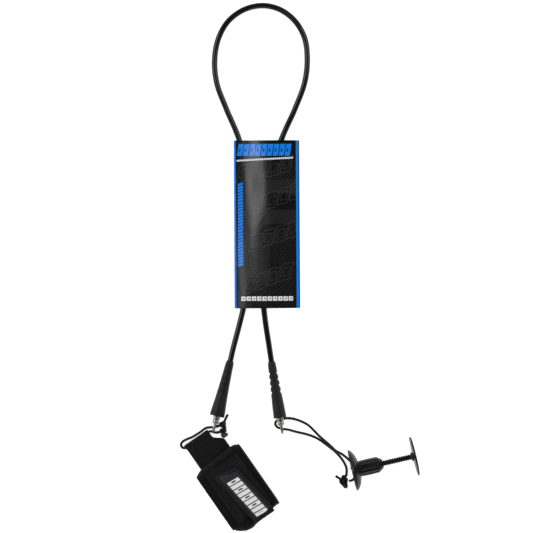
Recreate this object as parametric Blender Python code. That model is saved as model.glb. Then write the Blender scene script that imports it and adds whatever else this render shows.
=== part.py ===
"""Bodyboard leash in its card sleeve, lying flat on z = 0.

A straight cord is folded once through a card sleeve. One end carries a padded cuff, the other a screw-together
board plug. Metres, +Z up. Positions are given in layout coordinates, measured from the middle of the laid-out
leash, and the layout empty moves them so that the firm pieces' box is centred on the origin.
"""

import math

import bmesh
import bpy
from mathutils import Matrix, Vector

GAP = 0.0003  # between pieces that touch
RUNNING_GAP = 0.0002  # between a stud and its barrel
TUNNEL_GAP = 0.00045  # round the string in the cuff's hem

# Layout: middle of the box round the firm pieces, which becomes the origin
LAYOUT_X = 0.038185
LAYOUT_Y = -0.076202

# Wall of the card, and the band round the cord inside it
CARD_THICKNESS = 0.0005
TIE_THICKNESS = 0.0008
TIE_CARD_GAP = 0.0004

# Cord
CORD_DIAMETER = 0.0064
CORD_STEP = 0.0145
CORD_CARD_HEIGHT = CARD_THICKNESS + TIE_CARD_GAP + TIE_THICKNESS + GAP + CORD_DIAMETER / 2
CUFF_HORN_FACE = Vector((-0.0545, -0.1645, 0.0076))
CUFF_HORN_CORD_END = Vector((-0.0399, -0.1040, 0.0047))
PLUG_HORN_FACE = Vector((0.0149, -0.1663, 0.0084))
PLUG_HORN_CORD_END = Vector((0.0053, -0.1040, 0.0047))
CORD_ROUTE = [
    (-0.0366, -0.0900, 0.0046),
    (-0.0259, -0.0479, 0.0044),
    (-0.0162, 0.0000, 0.0048),
    (-0.0133, 0.0347, CORD_CARD_HEIGHT),
    (-0.0165, 0.0800, 0.0050),
    (-0.0301, 0.1394, 0.0044),
    (-0.0444, 0.1739, 0.0034),
    (-0.0546, 0.2013, 0.0034),
    (-0.0572, 0.2260, 0.0034),
    (-0.0533, 0.2500, 0.0034),
    (-0.0427, 0.2695, 0.0034),
    (-0.0252, 0.2827, 0.0034),
    (-0.0045, 0.2874, 0.0034),
    (0.0148, 0.2830, 0.0034),
    (0.0312, 0.2705, 0.0034),
    (0.0420, 0.2515, 0.0034),
    (0.0449, 0.2275, 0.0034),
    (0.0420, 0.2025, 0.0034),
    (0.0315, 0.1739, 0.0034),
    (0.0164, 0.1399, 0.0044),
    (-0.0022, 0.0800, 0.0050),
    (-0.0065, 0.0347, CORD_CARD_HEIGHT),
    (-0.0055, 0.0000, 0.0048),
    (-0.0028, -0.0479, 0.0044),
    (0.0032, -0.0900, 0.0046),
]

# Card sleeve
CARD_WIDTH = 0.0722
CARD_LENGTH = 0.1845
CARD_SIDE_DROP = 0.0009  # the card's side edges lie this far below the top of the tie
CARD_SIDE_HEIGHT = CORD_CARD_HEIGHT + CORD_DIAMETER / 2 + GAP + TIE_THICKNESS - CARD_SIDE_DROP
CARD_CROWN = 0.0024
CARD_CENTRE = Vector((0.0004, 0.0464, 0.0))
CARD_TURN = math.radians(0.34)

# Tie round the two runs of the cord
TIE_CENTRE = Vector((-0.0099, 0.0347, CORD_CARD_HEIGHT))
TIE_RUN_SPACING = 0.0068
TIE_WIDTH = 0.0040

# Horns: (distance from the swivel face, half width across the broad side, half width across the narrow side)
HORN_SECTIONS = [
    (0.0000, 0.0074, 0.0066),
    (0.0012, 0.0081, 0.0071),
    (0.0060, 0.0078, 0.0069),
    (0.0150, 0.0070, 0.0065),
    (0.0220, 0.0064, 0.0061),
    (0.0360, 0.0055, 0.0054),
    (0.0500, 0.0048, 0.0048),
    (0.0595, 0.0044, 0.0044),
]
HORN_SHOULDER = 0.0008
HORN_SEGMENTS = 24
SLOT_COUNT = 4
SLOT_FIRST = 0.0285
SLOT_PITCH = 0.0069
SLOT_LENGTH = 0.0026
SLOT_DEPTH = 0.0009
SLOT_WIDTH = 0.0062

# Swivels, measured outwards from the horn's face
FERRULE_LENGTH = 0.0120
FERRULE_WALL = 0.0011
FERRULE_START = 0.0170
CORD_END_DEPTH = 0.0145
BARREL_RADIUS = 0.0039
BARREL_WALL = 0.0010
BARREL_DEPTH = 0.0117
BARREL_OUT = 0.0036
STUD_RADIUS = 0.0016
STUD_HEAD_RADIUS = 0.0026
STUD_HEAD_LENGTH = 0.0022
BLOCK_LENGTH = 0.0042
BLOCK_WIDTH = 0.0074
BOW_WIRE_RADIUS = 0.0016
BOW_LEG_OFFSET = 0.0039
BOW_SEAT = 0.0020
BOW_BLOCK_WALL = 0.0008
BOW_TIP = 0.0182

# Strings
STRING_DIAMETER = 0.0029
STRING_STEP = 0.0042
CUFF_STRING_ROUTE = [
    (-0.0526, -0.1756, 0.0075),
    (-0.0573, -0.1763, 0.0076),
    (-0.0616, -0.1768, 0.0066),
    (-0.0664, -0.1777, 0.0048),
    (-0.0735, -0.1827, 0.0032),
    (-0.0820, -0.1879, 0.0028),
    (-0.0888, -0.1907, 0.0027),
    (-0.0927, -0.1932, 0.0027),
    (-0.0942, -0.1965, 0.0028),
    (-0.0925, -0.1995, 0.0030),
]
CUFF_STRING_TAIL = [
    (-0.0603, -0.1817, 0.0027),
    (-0.0573, -0.1828, 0.0020),
    (-0.0530, -0.1830, 0.0030),
]
PLUG_STRING_ROUTE = [
    (0.0876, -0.2298, 0.0108),
    (0.0880, -0.2222, 0.0072),
    (0.0840, -0.2136, 0.0034),
    (0.0770, -0.2053, 0.0018),
    (0.0699, -0.1994, 0.0017),
    (0.0558, -0.1894, 0.0017),
    (0.0452, -0.1852, 0.0017),
    (0.0330, -0.1822, 0.0022),
    (0.0235, -0.1793, 0.0076),
    (0.0165, -0.1781, 0.0087),
    (0.0122, -0.1767, 0.0082),
    (0.0097, -0.1735, 0.0052),
    (0.0110, -0.1702, 0.0022),
    (0.0150, -0.1684, 0.0017),
    (0.0198, -0.1674, 0.0017),
    (0.0270, -0.1674, 0.0017),
    (0.0347, -0.1693, 0.0017),
    (0.0452, -0.1742, 0.0030),
    (0.0520, -0.1803, 0.0045),
    (0.0573, -0.1858, 0.0050),
    (0.0640, -0.1917, 0.0050),
    (0.0699, -0.1968, 0.0058),
    (0.0761, -0.2024, 0.0080),
    (0.0830, -0.2060, 0.0112),
]

# Knots: lumps as (centre, half sizes), tails as (start, end)
CUFF_KNOT_LUMPS = [
    ((-0.0474, -0.1829, 0.0072), (0.0050, 0.0050, 0.0048)),
    ((-0.0478, -0.1742, 0.0076), (0.0044, 0.0054, 0.0048)),
]
CUFF_KNOT_TAILS = [((-0.0466, -0.1710, 0.0080), (-0.0426, -0.1626, 0.0090))]
PLUG_KNOT_LUMPS = [((0.0853, -0.2370, 0.0078), (0.0053, 0.0074, 0.0062))]
PLUG_KNOT_TAILS = [((0.0830, -0.2345, 0.0080), (0.0762, -0.2304, 0.0072))]

# Cuff, in its own directions: along the cuff from the hem, across it from the left edge, and up
CUFF_CORNER = Vector((-0.0909, -0.1973, 0.0))
CUFF_ANGLE = math.radians(34.8)
HEM_ALONG = 0.0030
HEM_HEIGHT = 0.0031
HEM_RADIUS = 0.0030
HEM_LENGTH = 0.0310
TAB_WIDTH = 0.0410
TAB_THICKNESS = 0.0023
TAB_END = 0.1040
TAB_CORNER_STARTS = 0.0090
TAB_CORNER_ENDS = 0.0200
PAD_LEFT = -0.0078
PAD_RIGHT = 0.0508
PAD_THICKNESS = 0.0040
WRIST_GAP = 0.0060
# The pad's two ends as (across, along)
PAD_STARTS = [(-0.0078, 0.0360), (-0.0040, 0.0330), (0.0010, 0.0312), (0.0455, 0.0288), (0.0508, 0.0325)]
PAD_ENDS = [(-0.0078, 0.1065), (-0.0035, 0.1120), (0.0040, 0.1165), (0.0104, 0.1180), (0.0300, 0.1148), (0.0508, 0.1112)]
BINDING_WIDTH = 0.0015
STRAP_ALONG = (0.0395, 0.1040)
STRAP_ACROSS = (0.0010, 0.0445)
STRAP_THICKNESS = 0.0012
LOOP_PATCH_ALONG = (0.0440, 0.1000)
LOOP_PATCH_ACROSS = (0.0070, 0.0430)
LOOP_PATCH_THICKNESS = 0.0008
FLAP_ROOT_ALONG = 0.1115
FLAP_ROOT_ACROSS = 0.0304
FLAP_SKEW = math.radians(7.6)
FLAP_WIDTH = 0.0256
FLAP_REACH_LEFT = 0.0670
FLAP_REACH_RIGHT = 0.0602
FLAP_THICKNESS = 0.0020
HOOK_PATCH_MARGIN = 0.0020
HOOK_PATCH_LENGTH = 0.0300
HOOK_PATCH_THICKNESS = 0.0007
LABEL_MARGIN = 0.0022
LABEL_THICKNESS = 0.0008

# Plug, measured along its axis from the rim of the cup
PLUG_RIM_CENTRE = Vector((0.0932, -0.2227, 0.0228))
PLUG_TURN = math.radians(13.0)
FLANGE_RADIUS = 0.0227
FLANGE_WALL = 0.0015
FLANGE_LIP = 0.0010
DISH_DEPTH = 0.0072
TUBE_RADIUS = 0.0083
TUBE_START = 0.0088
TUBE_END = 0.0296
TIP_END = 0.0347
TIP_WALL = 0.0009
RIB_COUNT = 12
RIB_HEIGHT = 0.0005
CUP_SEGMENTS = 48
BORE_FLOOR = 0.0090
BAR_RADIUS = 0.0012
BAR_ALONG = 0.0014
BAR_SEAT = 0.0009
SCREW_RADIUS = 0.00325
THREAD_PITCH = 0.0025
THREAD_DEPTH = 0.0007
SCREW_START = 0.0300
DISC_RADIUS = 0.0218
DISC_MIDDLE = 0.0700
DISC_THICKNESS = 0.0022
WASHER_RADIUS = 0.0046
WASHER_LENGTH = 0.0024

# Worked out from the sizes above
CORD_RADIUS = CORD_DIAMETER / 2
STRING_RADIUS = STRING_DIAMETER / 2
TAB_BASE = HEM_HEIGHT - HEM_RADIUS
PAD_BASE = TAB_BASE + TAB_THICKNESS + GAP
PAD_TOP = PAD_BASE + 2 * PAD_THICKNESS + WRIST_GAP
STRAP_BASE = PAD_TOP + GAP
LOOP_PATCH_BASE = STRAP_BASE + STRAP_THICKNESS + GAP
HOOK_PATCH_BASE = LOOP_PATCH_BASE + LOOP_PATCH_THICKNESS + GAP
FLAP_BASE = HOOK_PATCH_BASE + HOOK_PATCH_THICKNESS + GAP
LABEL_BASE = FLAP_BASE + FLAP_THICKNESS + GAP
FLAP_PIVOT_HEIGHT = FLAP_BASE + FLAP_THICKNESS / 2
TUNNEL_RADIUS = STRING_RADIUS + TUNNEL_GAP
BORE_RADIUS = SCREW_RADIUS + GAP
WASHER_END = DISC_MIDDLE - DISC_THICKNESS / 2 - GAP


def clear_scene():
    for thing in list(bpy.data.objects):
        bpy.data.objects.remove(thing, do_unlink=True)


def finish(name, colour, roughness, metallic=0.0):
    """A Principled material."""
    material = bpy.data.materials.get(name) or bpy.data.materials.new(name)
    material.use_nodes = True
    shader = material.node_tree.nodes["Principled BSDF"]
    shader.inputs["Base Color"].default_value = (*colour, 1.0)
    shader.inputs["Roughness"].default_value = roughness
    shader.inputs["Metallic"].default_value = metallic
    return material


def empty(name, location, parent=None, turn=None):
    """An empty that holds a place or a joint's axis."""
    marker = bpy.data.objects.new(name, None)
    bpy.context.collection.objects.link(marker)
    marker.parent = parent
    marker.location = location
    if turn is not None:
        marker.rotation_mode = "QUATERNION"
        marker.rotation_quaternion = turn
    return marker


def add_object(name, bm, material, parent):
    """Turns a bmesh into a named, smooth-shaded object with its faces outwards."""
    bmesh.ops.remove_doubles(bm, verts=bm.verts, dist=1e-6)
    bmesh.ops.recalc_face_normals(bm, faces=bm.faces)
    mesh = bpy.data.meshes.new(name)
    bm.to_mesh(mesh)
    bm.free()
    mesh.shade_smooth()
    mesh.set_sharp_from_angle(angle=math.radians(35))
    mesh.materials.append(material)
    thing = bpy.data.objects.new(name, mesh)
    bpy.context.collection.objects.link(thing)
    thing.parent = parent
    return thing


def boolean(thing, cutter, operation="DIFFERENCE"):
    """Adds an exact Boolean whose cutter stays in the scene as a hidden wire."""
    cutter.hide_render = True
    cutter.display_type = "WIRE"
    modifier = thing.modifiers.new(cutter.name, "BOOLEAN")
    modifier.operation = operation
    modifier.solver = "EXACT"
    modifier.object = cutter


def skin(bm, rings, around=True):
    """Joins rings of equal length with quads. With around, the last ring meets the first, else the ends are capped."""
    made = [[bm.verts.new(point) for point in ring] for ring in rings]
    pairs = list(zip(made, made[1:] + made[:1])) if around else list(zip(made, made[1:]))
    for ring, following in pairs:
        for i in range(len(ring)):
            j = (i + 1) % len(ring)
            bm.faces.new((ring[i], ring[j], following[j], following[i]))
    if not around:
        bm.faces.new(made[0])
        bm.faces.new(made[-1])
    return bm


def circle(radius, height, segments):
    turns = [2 * math.pi * i / segments for i in range(segments)]
    return [(radius * math.cos(t), radius * math.sin(t), height) for t in turns]


def turned(profile, segments, around=False):
    """A solid turned about local Z from (radius, height) pairs."""
    return skin(bmesh.new(), [circle(r, z, segments) for r, z in profile], around)


def prism(outline, low, high):
    """An outline of (x, y) points pulled up from low to high along Z."""
    bm = bmesh.new()
    return skin(bm, [[(x, y, z) for x, y in outline] for z in (low, high)], around=False)


def slab(low, high):
    """A box between two corners."""
    (x0, y0, z0), (x1, y1, z1) = low, high
    return prism([(x0, y0), (x1, y0), (x1, y1), (x0, y1)], z0, z1)


def natural_spline(points, step):
    """Evenly spaced points on the smooth curve that passes through the route's own points."""
    points = [Vector(p) for p in points]
    knots = [0.0]
    for a, b in zip(points, points[1:]):
        knots.append(knots[-1] + math.sqrt((b - a).length))
    count = len(points)
    slopes = [None] * count
    for i in range(1, count - 1):
        before = (points[i] - points[i - 1]) / (knots[i] - knots[i - 1])
        after = (points[i + 1] - points[i]) / (knots[i + 1] - knots[i])
        span = knots[i + 1] - knots[i - 1]
        slopes[i] = before * ((knots[i + 1] - knots[i]) / span) + after * ((knots[i] - knots[i - 1]) / span)
    slopes[0] = (points[1] - points[0]) / (knots[1] - knots[0])
    slopes[-1] = (points[-1] - points[-2]) / (knots[-1] - knots[-2])
    fine = []
    for i in range(count - 1):
        width = knots[i + 1] - knots[i]
        for k in range(24):
            t = k / 24
            fine.append(
                points[i] * (2 * t**3 - 3 * t**2 + 1)
                + slopes[i] * width * (t**3 - 2 * t**2 + t)
                + points[i + 1] * (3 * t**2 - 2 * t**3)
                + slopes[i + 1] * width * (t**3 - t**2)
            )
    fine.append(points[-1])
    travelled = [0.0]
    for a, b in zip(fine, fine[1:]):
        travelled.append(travelled[-1] + (b - a).length)
    pieces = max(2, round(travelled[-1] / step))
    out, at = [], 0
    for k in range(pieces + 1):
        wanted = travelled[-1] * k / pieces
        while at < len(fine) - 2 and travelled[at + 1] < wanted:
            at += 1
        run = travelled[at + 1] - travelled[at]
        out.append(fine[at].lerp(fine[at + 1], (wanted - travelled[at]) / run))
    return out


def tube(name, points, radius, sides, material, parent):
    """A round cord as a poly curve with a bevel and filled caps."""
    curve = bpy.data.curves.new(name, "CURVE")
    curve.dimensions = "3D"
    curve.bevel_depth = radius
    curve.bevel_resolution = sides
    curve.use_fill_caps = True
    curve.twist_mode = "MINIMUM"
    spline = curve.splines.new("POLY")
    spline.points.add(len(points) - 1)
    for slot, point in zip(spline.points, points):
        slot.co = (*point, 1.0)
    curve.materials.append(material)
    cord = bpy.data.objects.new(name, curve)
    bpy.context.collection.objects.link(cord)
    cord.parent = parent
    return cord


def horn_direction(face, cord_end):
    """The way from the cord towards the swivel, along the horn."""
    return (face - cord_end).normalized()


def horn_turn(face, cord_end, broad_up):
    """Turns local Z onto the horn's axis, with local X (the broad side) up or level."""
    axis = horn_direction(face, cord_end)
    level = Vector((0, 0, 1)).cross(axis).normalized()
    up = axis.cross(level)
    broad, narrow = (up, -level) if broad_up else (level, up)
    return Matrix((broad, narrow, axis)).transposed().to_quaternion()


def cord_points():
    """The cord's centreline from inside one horn to inside the other."""
    start = CUFF_HORN_FACE - horn_direction(CUFF_HORN_FACE, CUFF_HORN_CORD_END) * CORD_END_DEPTH
    end = PLUG_HORN_FACE - horn_direction(PLUG_HORN_FACE, PLUG_HORN_CORD_END) * CORD_END_DEPTH
    halfway_cuff = start.lerp(CUFF_HORN_CORD_END, 0.5)
    halfway_plug = end.lerp(PLUG_HORN_CORD_END, 0.5)
    route = [start, halfway_cuff, CUFF_HORN_CORD_END, *CORD_ROUTE, PLUG_HORN_CORD_END, halfway_plug, end]
    return natural_spline(route, CORD_STEP)


def make_horn(name, parent, material):
    """An oval strain relief, bored for the cord, the ferrule and the barrel, with recesses on both broad sides."""
    length = (CUFF_HORN_FACE - CUFF_HORN_CORD_END).length
    bore = CORD_RADIUS + GAP
    pocket = CORD_RADIUS + GAP + FERRULE_WALL + GAP
    seat = BARREL_RADIUS + GAP
    turns = [2 * math.pi * i / HORN_SEGMENTS for i in range(HORN_SEGMENTS)]

    def oval(depth, broad, narrow):
        return [(broad * math.cos(t), narrow * math.sin(t), -depth) for t in turns]

    last = HORN_SECTIONS[-1]
    rings = [oval(*section) for section in HORN_SECTIONS]
    rings.append(oval(length, last[1] - HORN_SHOULDER, last[2] - HORN_SHOULDER))
    inner = [
        (bore, length),
        (bore, FERRULE_START + FERRULE_LENGTH + GAP),
        (pocket, FERRULE_START + FERRULE_LENGTH + GAP),
        (pocket, FERRULE_START - GAP),
        (bore, FERRULE_START - GAP),
        (bore, BARREL_DEPTH + GAP),
        (seat, BARREL_DEPTH + GAP),
        (seat, 0.0),
    ]
    rings += [oval(depth, radius, radius) for radius, depth in inner]
    horn = add_object(name, skin(bmesh.new(), rings), material, parent)
    for side in (1, -1):
        for i in range(SLOT_COUNT):
            along = SLOT_FIRST + i * SLOT_PITCH
            half_height = section_half(along)
            low = half_height - SLOT_DEPTH
            y0, y1 = sorted((side * low, side * (half_height + SLOT_DEPTH)))
            corner_a = (-SLOT_WIDTH / 2, y0, -along - SLOT_LENGTH / 2)
            corner_b = (SLOT_WIDTH / 2, y1, -along + SLOT_LENGTH / 2)
            label = f"{name}_recess_{'upper' if side > 0 else 'lower'}_{i + 1}"
            boolean(horn, add_object(label, slab(corner_a, corner_b), material, parent))
    return horn


def section_half(along):
    """Half the horn's narrow width at a distance from its face."""
    for (a, _, first), (b, _, second) in zip(HORN_SECTIONS, HORN_SECTIONS[1:]):
        if a <= along <= b:
            return first + (second - first) * (along - a) / (b - a)
    return HORN_SECTIONS[-1][2]


def make_ferrule(name, parent, material):
    inner = CORD_RADIUS + GAP
    outer = inner + FERRULE_WALL
    near, far = -FERRULE_START, -FERRULE_START - FERRULE_LENGTH
    profile = [(inner, far), (outer, far), (outer, near), (inner, near)]
    return add_object(name, turned(profile, HORN_SEGMENTS, around=True), material, parent)


def make_barrel(name, parent, material):
    """The swivel's barrel: open at the back, with a holed front wall that keeps the stud's head in."""
    inner = BARREL_RADIUS - BARREL_WALL
    hole = STUD_RADIUS + RUNNING_GAP
    profile = [
        (BARREL_RADIUS, -BARREL_DEPTH),
        (BARREL_RADIUS, BARREL_OUT - 0.0004),
        (BARREL_RADIUS - 0.0004, BARREL_OUT),
        (hole, BARREL_OUT),
        (hole, BARREL_OUT - BARREL_WALL),
        (inner, BARREL_OUT - BARREL_WALL),
        (inner, -BARREL_DEPTH),
    ]
    return add_object(name, turned(profile, HORN_SEGMENTS, around=True), material, parent)


def make_stud(name, parent, material):
    """The headed stud, with the block that holds the bow's two legs."""
    head_top = BARREL_OUT - BARREL_WALL - GAP
    block_base = BARREL_OUT + GAP
    block_top = block_base + BLOCK_LENGTH
    profile = [
        (STUD_HEAD_RADIUS, head_top - STUD_HEAD_LENGTH),
        (STUD_HEAD_RADIUS, head_top),
        (STUD_RADIUS, head_top),
        (STUD_RADIUS, block_base + BLOCK_LENGTH / 2),
    ]
    stud = add_object(name, turned(profile, 16), material, parent)
    half = BOW_LEG_OFFSET + BOW_WIRE_RADIUS + GAP + BOW_BLOCK_WALL
    corner = BLOCK_WIDTH / 2
    ends = [(half - corner, 0.0), (-half + corner, math.pi)]
    outline = []
    for middle, start in ends:
        for i in range(9):
            turn = start - math.pi / 2 + math.pi * i / 8
            outline.append((middle + corner * math.cos(turn), corner * math.sin(turn)))
    block = add_object(name + "_block", prism(outline, block_base, block_top), material, parent)
    boolean(stud, block, "UNION")
    for side in (1, -1):
        seat = turned([(BOW_WIRE_RADIUS + GAP, block_top - BOW_SEAT), (BOW_WIRE_RADIUS + GAP, block_top + 0.001)], 16)
        for vertex in seat.verts:
            vertex.co.x += side * BOW_LEG_OFFSET
        boolean(stud, add_object(f"{name}_seat_{side + 2}", seat, material, parent))
    return stud


def make_bow(name, parent, material):
    """The U-shaped bow, whose legs stand in the stud's block."""
    foot = BARREL_OUT + GAP + BLOCK_LENGTH - BOW_SEAT + GAP
    bend = BOW_TIP - BOW_WIRE_RADIUS - BOW_LEG_OFFSET
    path = [(BOW_LEG_OFFSET, foot), (BOW_LEG_OFFSET, bend)]
    path += [
        (BOW_LEG_OFFSET * math.cos(math.pi * i / 8), bend + BOW_LEG_OFFSET * math.sin(math.pi * i / 8))
        for i in range(1, 8)
    ]
    path += [(-BOW_LEG_OFFSET, bend), (-BOW_LEG_OFFSET, foot)]
    rings = []
    for i, (x, z) in enumerate(path):
        before, after = path[max(i - 1, 0)], path[min(i + 1, len(path) - 1)]
        heading = Vector((after[0] - before[0], 0, after[1] - before[1])).normalized()
        outward = heading.cross(Vector((0, 1, 0)))
        ring = []
        for k in range(12):
            turn = 2 * math.pi * k / 12
            offset = outward * math.cos(turn) + Vector((0, 1, 0)) * math.sin(turn)
            ring.append(Vector((x, 0, z)) + offset * BOW_WIRE_RADIUS)
        rings.append(ring)
    return add_object(name, skin(bmesh.new(), rings, around=False), material, parent)


def make_card(parent, material):
    """A box-like sleeve of folded card, open at both ends, with a crowned front."""
    half = CARD_WIDTH / 2

    def outline(inset):
        edge = half - inset
        points = [(-edge, inset), (edge, inset)]
        for i in range(13):
            x = edge * (1 - i / 6)
            crown = CARD_CROWN * (1 - (x / edge) ** 2)
            points.append((x, CARD_SIDE_HEIGHT - inset + crown))
        return points

    rings = []
    for inset, y in ((0.0, -1), (0.0, 1), (CARD_THICKNESS, 1), (CARD_THICKNESS, -1)):
        rings.append([(x, y * CARD_LENGTH / 2, z) for x, z in outline(inset)])
    sleeve = add_object("card_sleeve", skin(bmesh.new(), rings), material, parent)
    sleeve.location = CARD_CENTRE
    sleeve.rotation_euler = (0, 0, CARD_TURN)
    return sleeve


def make_tie(parent, material):
    """A flat band round both runs of the cord."""

    def stadium(radius):
        points = []
        for side, start in ((1, -math.pi / 2), (-1, math.pi / 2)):
            for i in range(9):
                turn = start + math.pi * i / 8
                x = side * TIE_RUN_SPACING / 2 + radius * math.cos(turn)
                points.append((x, radius * math.sin(turn)))
        return points

    inner = CORD_RADIUS + GAP
    rings = []
    for radius, y in ((inner, -1), (inner + TIE_THICKNESS, -1), (inner + TIE_THICKNESS, 1), (inner, 1)):
        rings.append([(x, y * TIE_WIDTH / 2, z) for x, z in stadium(radius)])
    tie = add_object("cord_tie", skin(bmesh.new(), rings), material, parent)
    tie.location = TIE_CENTRE
    return tie


def make_knot(name, lumps, tails, material, parent):
    """A knot as round lumps and short tails joined into one solid."""
    pieces = []
    for i, (centre, half) in enumerate(lumps):
        bm = bmesh.new()
        bmesh.ops.create_uvsphere(bm, u_segments=16, v_segments=10, radius=1.0)
        bmesh.ops.scale(bm, vec=half, verts=bm.verts)
        bmesh.ops.translate(bm, vec=centre, verts=bm.verts)
        pieces.append((f"{name}_lump_{i + 1}", bm))
    for i, (start, end) in enumerate(tails):
        start, end = Vector(start), Vector(end)
        bm = turned([(STRING_RADIUS, 0.0), (STRING_RADIUS, (end - start).length)], 10)
        turn = (end - start).to_track_quat("Z", "Y").to_matrix().to_4x4()
        bmesh.ops.transform(bm, matrix=Matrix.Translation(start) @ turn, verts=bm.verts)
        pieces.append((f"{name}_tail_{i + 1}", bm))
    knot = add_object(name, pieces[0][1], material, parent)
    for label, bm in pieces[1:]:
        boolean(knot, add_object(label, bm, material, parent), "UNION")
    return knot


def cuff_place(along, across, height):
    """A point of the cuff in layout coordinates."""
    down = Vector((math.sin(CUFF_ANGLE), -math.cos(CUFF_ANGLE), 0))
    side = Vector((math.cos(CUFF_ANGLE), math.sin(CUFF_ANGLE), 0))
    return CUFF_CORNER + down * along + side * across + Vector((0, 0, height))


def cuff_slab(name, along, across, base, thickness, material, hem):
    """A flat rectangular cuff layer between two distances along and two across, in the frame of the hem."""
    low = (across[0], HEM_ALONG - along[1], base - HEM_HEIGHT)
    high = (across[1], HEM_ALONG - along[0], base + thickness - HEM_HEIGHT)
    return add_object(name, slab(low, high), material, hem)


def make_tab(parent, material):
    """The webbing backbone: a hem for the string, then a flat strap under the pad."""
    outline = [
        (0.0, 0.0),
        (HEM_LENGTH, 0.0),
        (HEM_LENGTH, HEM_ALONG - TAB_CORNER_STARTS),
        (TAB_WIDTH, HEM_ALONG - TAB_CORNER_ENDS),
        (TAB_WIDTH, HEM_ALONG - TAB_END),
        (0.0, HEM_ALONG - TAB_END),
    ]
    strap = prism(outline, -HEM_RADIUS, -HEM_RADIUS + TAB_THICKNESS)
    tab = add_object("cuff_tab", strap, material, parent)
    across = Matrix.Rotation(math.pi / 2, 4, "Y")
    hem = turned([(HEM_RADIUS, 0.0), (HEM_RADIUS, HEM_LENGTH)], 16)
    bmesh.ops.transform(hem, matrix=across, verts=hem.verts)
    boolean(tab, add_object("cuff_tab_hem", hem, material, parent), "UNION")
    tunnel = turned([(TUNNEL_RADIUS, -0.002), (TUNNEL_RADIUS, HEM_LENGTH + 0.002)], 16)
    bmesh.ops.transform(tunnel, matrix=across, verts=tunnel.verts)
    boolean(tab, add_object("cuff_tab_tunnel", tunnel, material, parent))
    return tab


def between(table, wanted):
    """The value of a (place, value) table at a place."""
    for (a, first), (b, second) in zip(table, table[1:]):
        if wanted <= b:
            return first + (second - first) * max(0.0, wanted - a) / (b - a)
    return table[-1][1]


def pad_section(across, inset):
    """The flattened loop's ring at a distance across: two level runs with a round bend at each end."""
    middle = (PAD_BASE + PAD_TOP) / 2
    reach = (PAD_TOP - PAD_BASE) / 2
    radius = reach - inset
    bends = ((between(PAD_ENDS, across) - reach, -math.pi / 2), (between(PAD_STARTS, across) + reach, math.pi / 2))
    ring = []
    for centre, start in bends:
        for i in range(9):
            turn = start + math.pi * i / 8
            along, height = centre + radius * math.cos(turn), middle + radius * math.sin(turn)
            ring.append((across, HEM_ALONG - along, height - HEM_HEIGHT))
    return ring


def make_pad_ring(name, left, right, material, parent):
    """A stretch of the pad's loop between two distances across the cuff."""
    inner = [across for across, _ in PAD_STARTS + PAD_ENDS if left + 0.0005 < across < right - 0.0005]
    stations = [left, *sorted(inner), right]
    rings = [pad_section(across, 0.0) for across in stations]
    rings += [pad_section(across, PAD_THICKNESS) for across in reversed(stations)]
    return add_object(name, skin(bmesh.new(), rings), material, parent)


def flap_outline(margin, length=None):
    """The flap's plan in its own frame, drawn in by a margin, and cut short from the free end by a length."""
    side = FLAP_WIDTH / 2 - margin
    left, right = FLAP_REACH_LEFT - margin, FLAP_REACH_RIGHT - margin
    low_left, low_right = (0.0, 0.0) if length is None else (left - length, right - length)
    return [(-side, low_left), (side, low_right), (side, right), (-side, left)]


def make_flap(parent, material):
    """The closing strap, with a half-round root about its own hinge axis."""
    half = FLAP_THICKNESS / 2
    bend = [(half * math.cos(t), half * math.sin(t)) for t in [-math.pi / 2 - math.pi * i / 6 for i in range(7)]]
    rings = []
    for across, reach in ((-FLAP_WIDTH / 2, FLAP_REACH_LEFT), (FLAP_WIDTH / 2, FLAP_REACH_RIGHT)):
        rings.append([(across, y, z) for y, z in [(reach, half), (reach, -half), *bend]])
    return add_object("cuff_flap", skin(bmesh.new(), rings, around=False), material, parent)


def make_cuff(hem, flap, webbing, foam, trim, patch, flap_cloth, print_base):
    """The padded loop with its bindings, strap and patches, then the closing flap with its label."""
    inner_left = PAD_LEFT + BINDING_WIDTH + GAP
    inner_right = PAD_RIGHT - BINDING_WIDTH - GAP
    make_tab(hem, webbing)
    make_pad_ring("cuff_pad", inner_left, inner_right, foam, hem)
    make_pad_ring("cuff_binding_left", PAD_LEFT, PAD_LEFT + BINDING_WIDTH, trim, hem)
    make_pad_ring("cuff_binding_right", PAD_RIGHT - BINDING_WIDTH, PAD_RIGHT, trim, hem)
    cuff_slab("cuff_strap", STRAP_ALONG, STRAP_ACROSS, STRAP_BASE, STRAP_THICKNESS, webbing, hem)
    patch_base, patch_thickness = LOOP_PATCH_BASE, LOOP_PATCH_THICKNESS
    cuff_slab("cuff_loop_patch", LOOP_PATCH_ALONG, LOOP_PATCH_ACROSS, patch_base, patch_thickness, patch, hem)
    make_flap(flap, flap_cloth)
    low = HOOK_PATCH_BASE - FLAP_PIVOT_HEIGHT
    hook = prism(flap_outline(HOOK_PATCH_MARGIN, HOOK_PATCH_LENGTH), low, low + HOOK_PATCH_THICKNESS)
    add_object("cuff_hook_patch", hook, patch, flap)
    low = LABEL_BASE - FLAP_PIVOT_HEIGHT
    panel = prism(flap_outline(LABEL_MARGIN), low, low + LABEL_THICKNESS)
    add_object("cuff_label", panel, print_base, flap)


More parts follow.
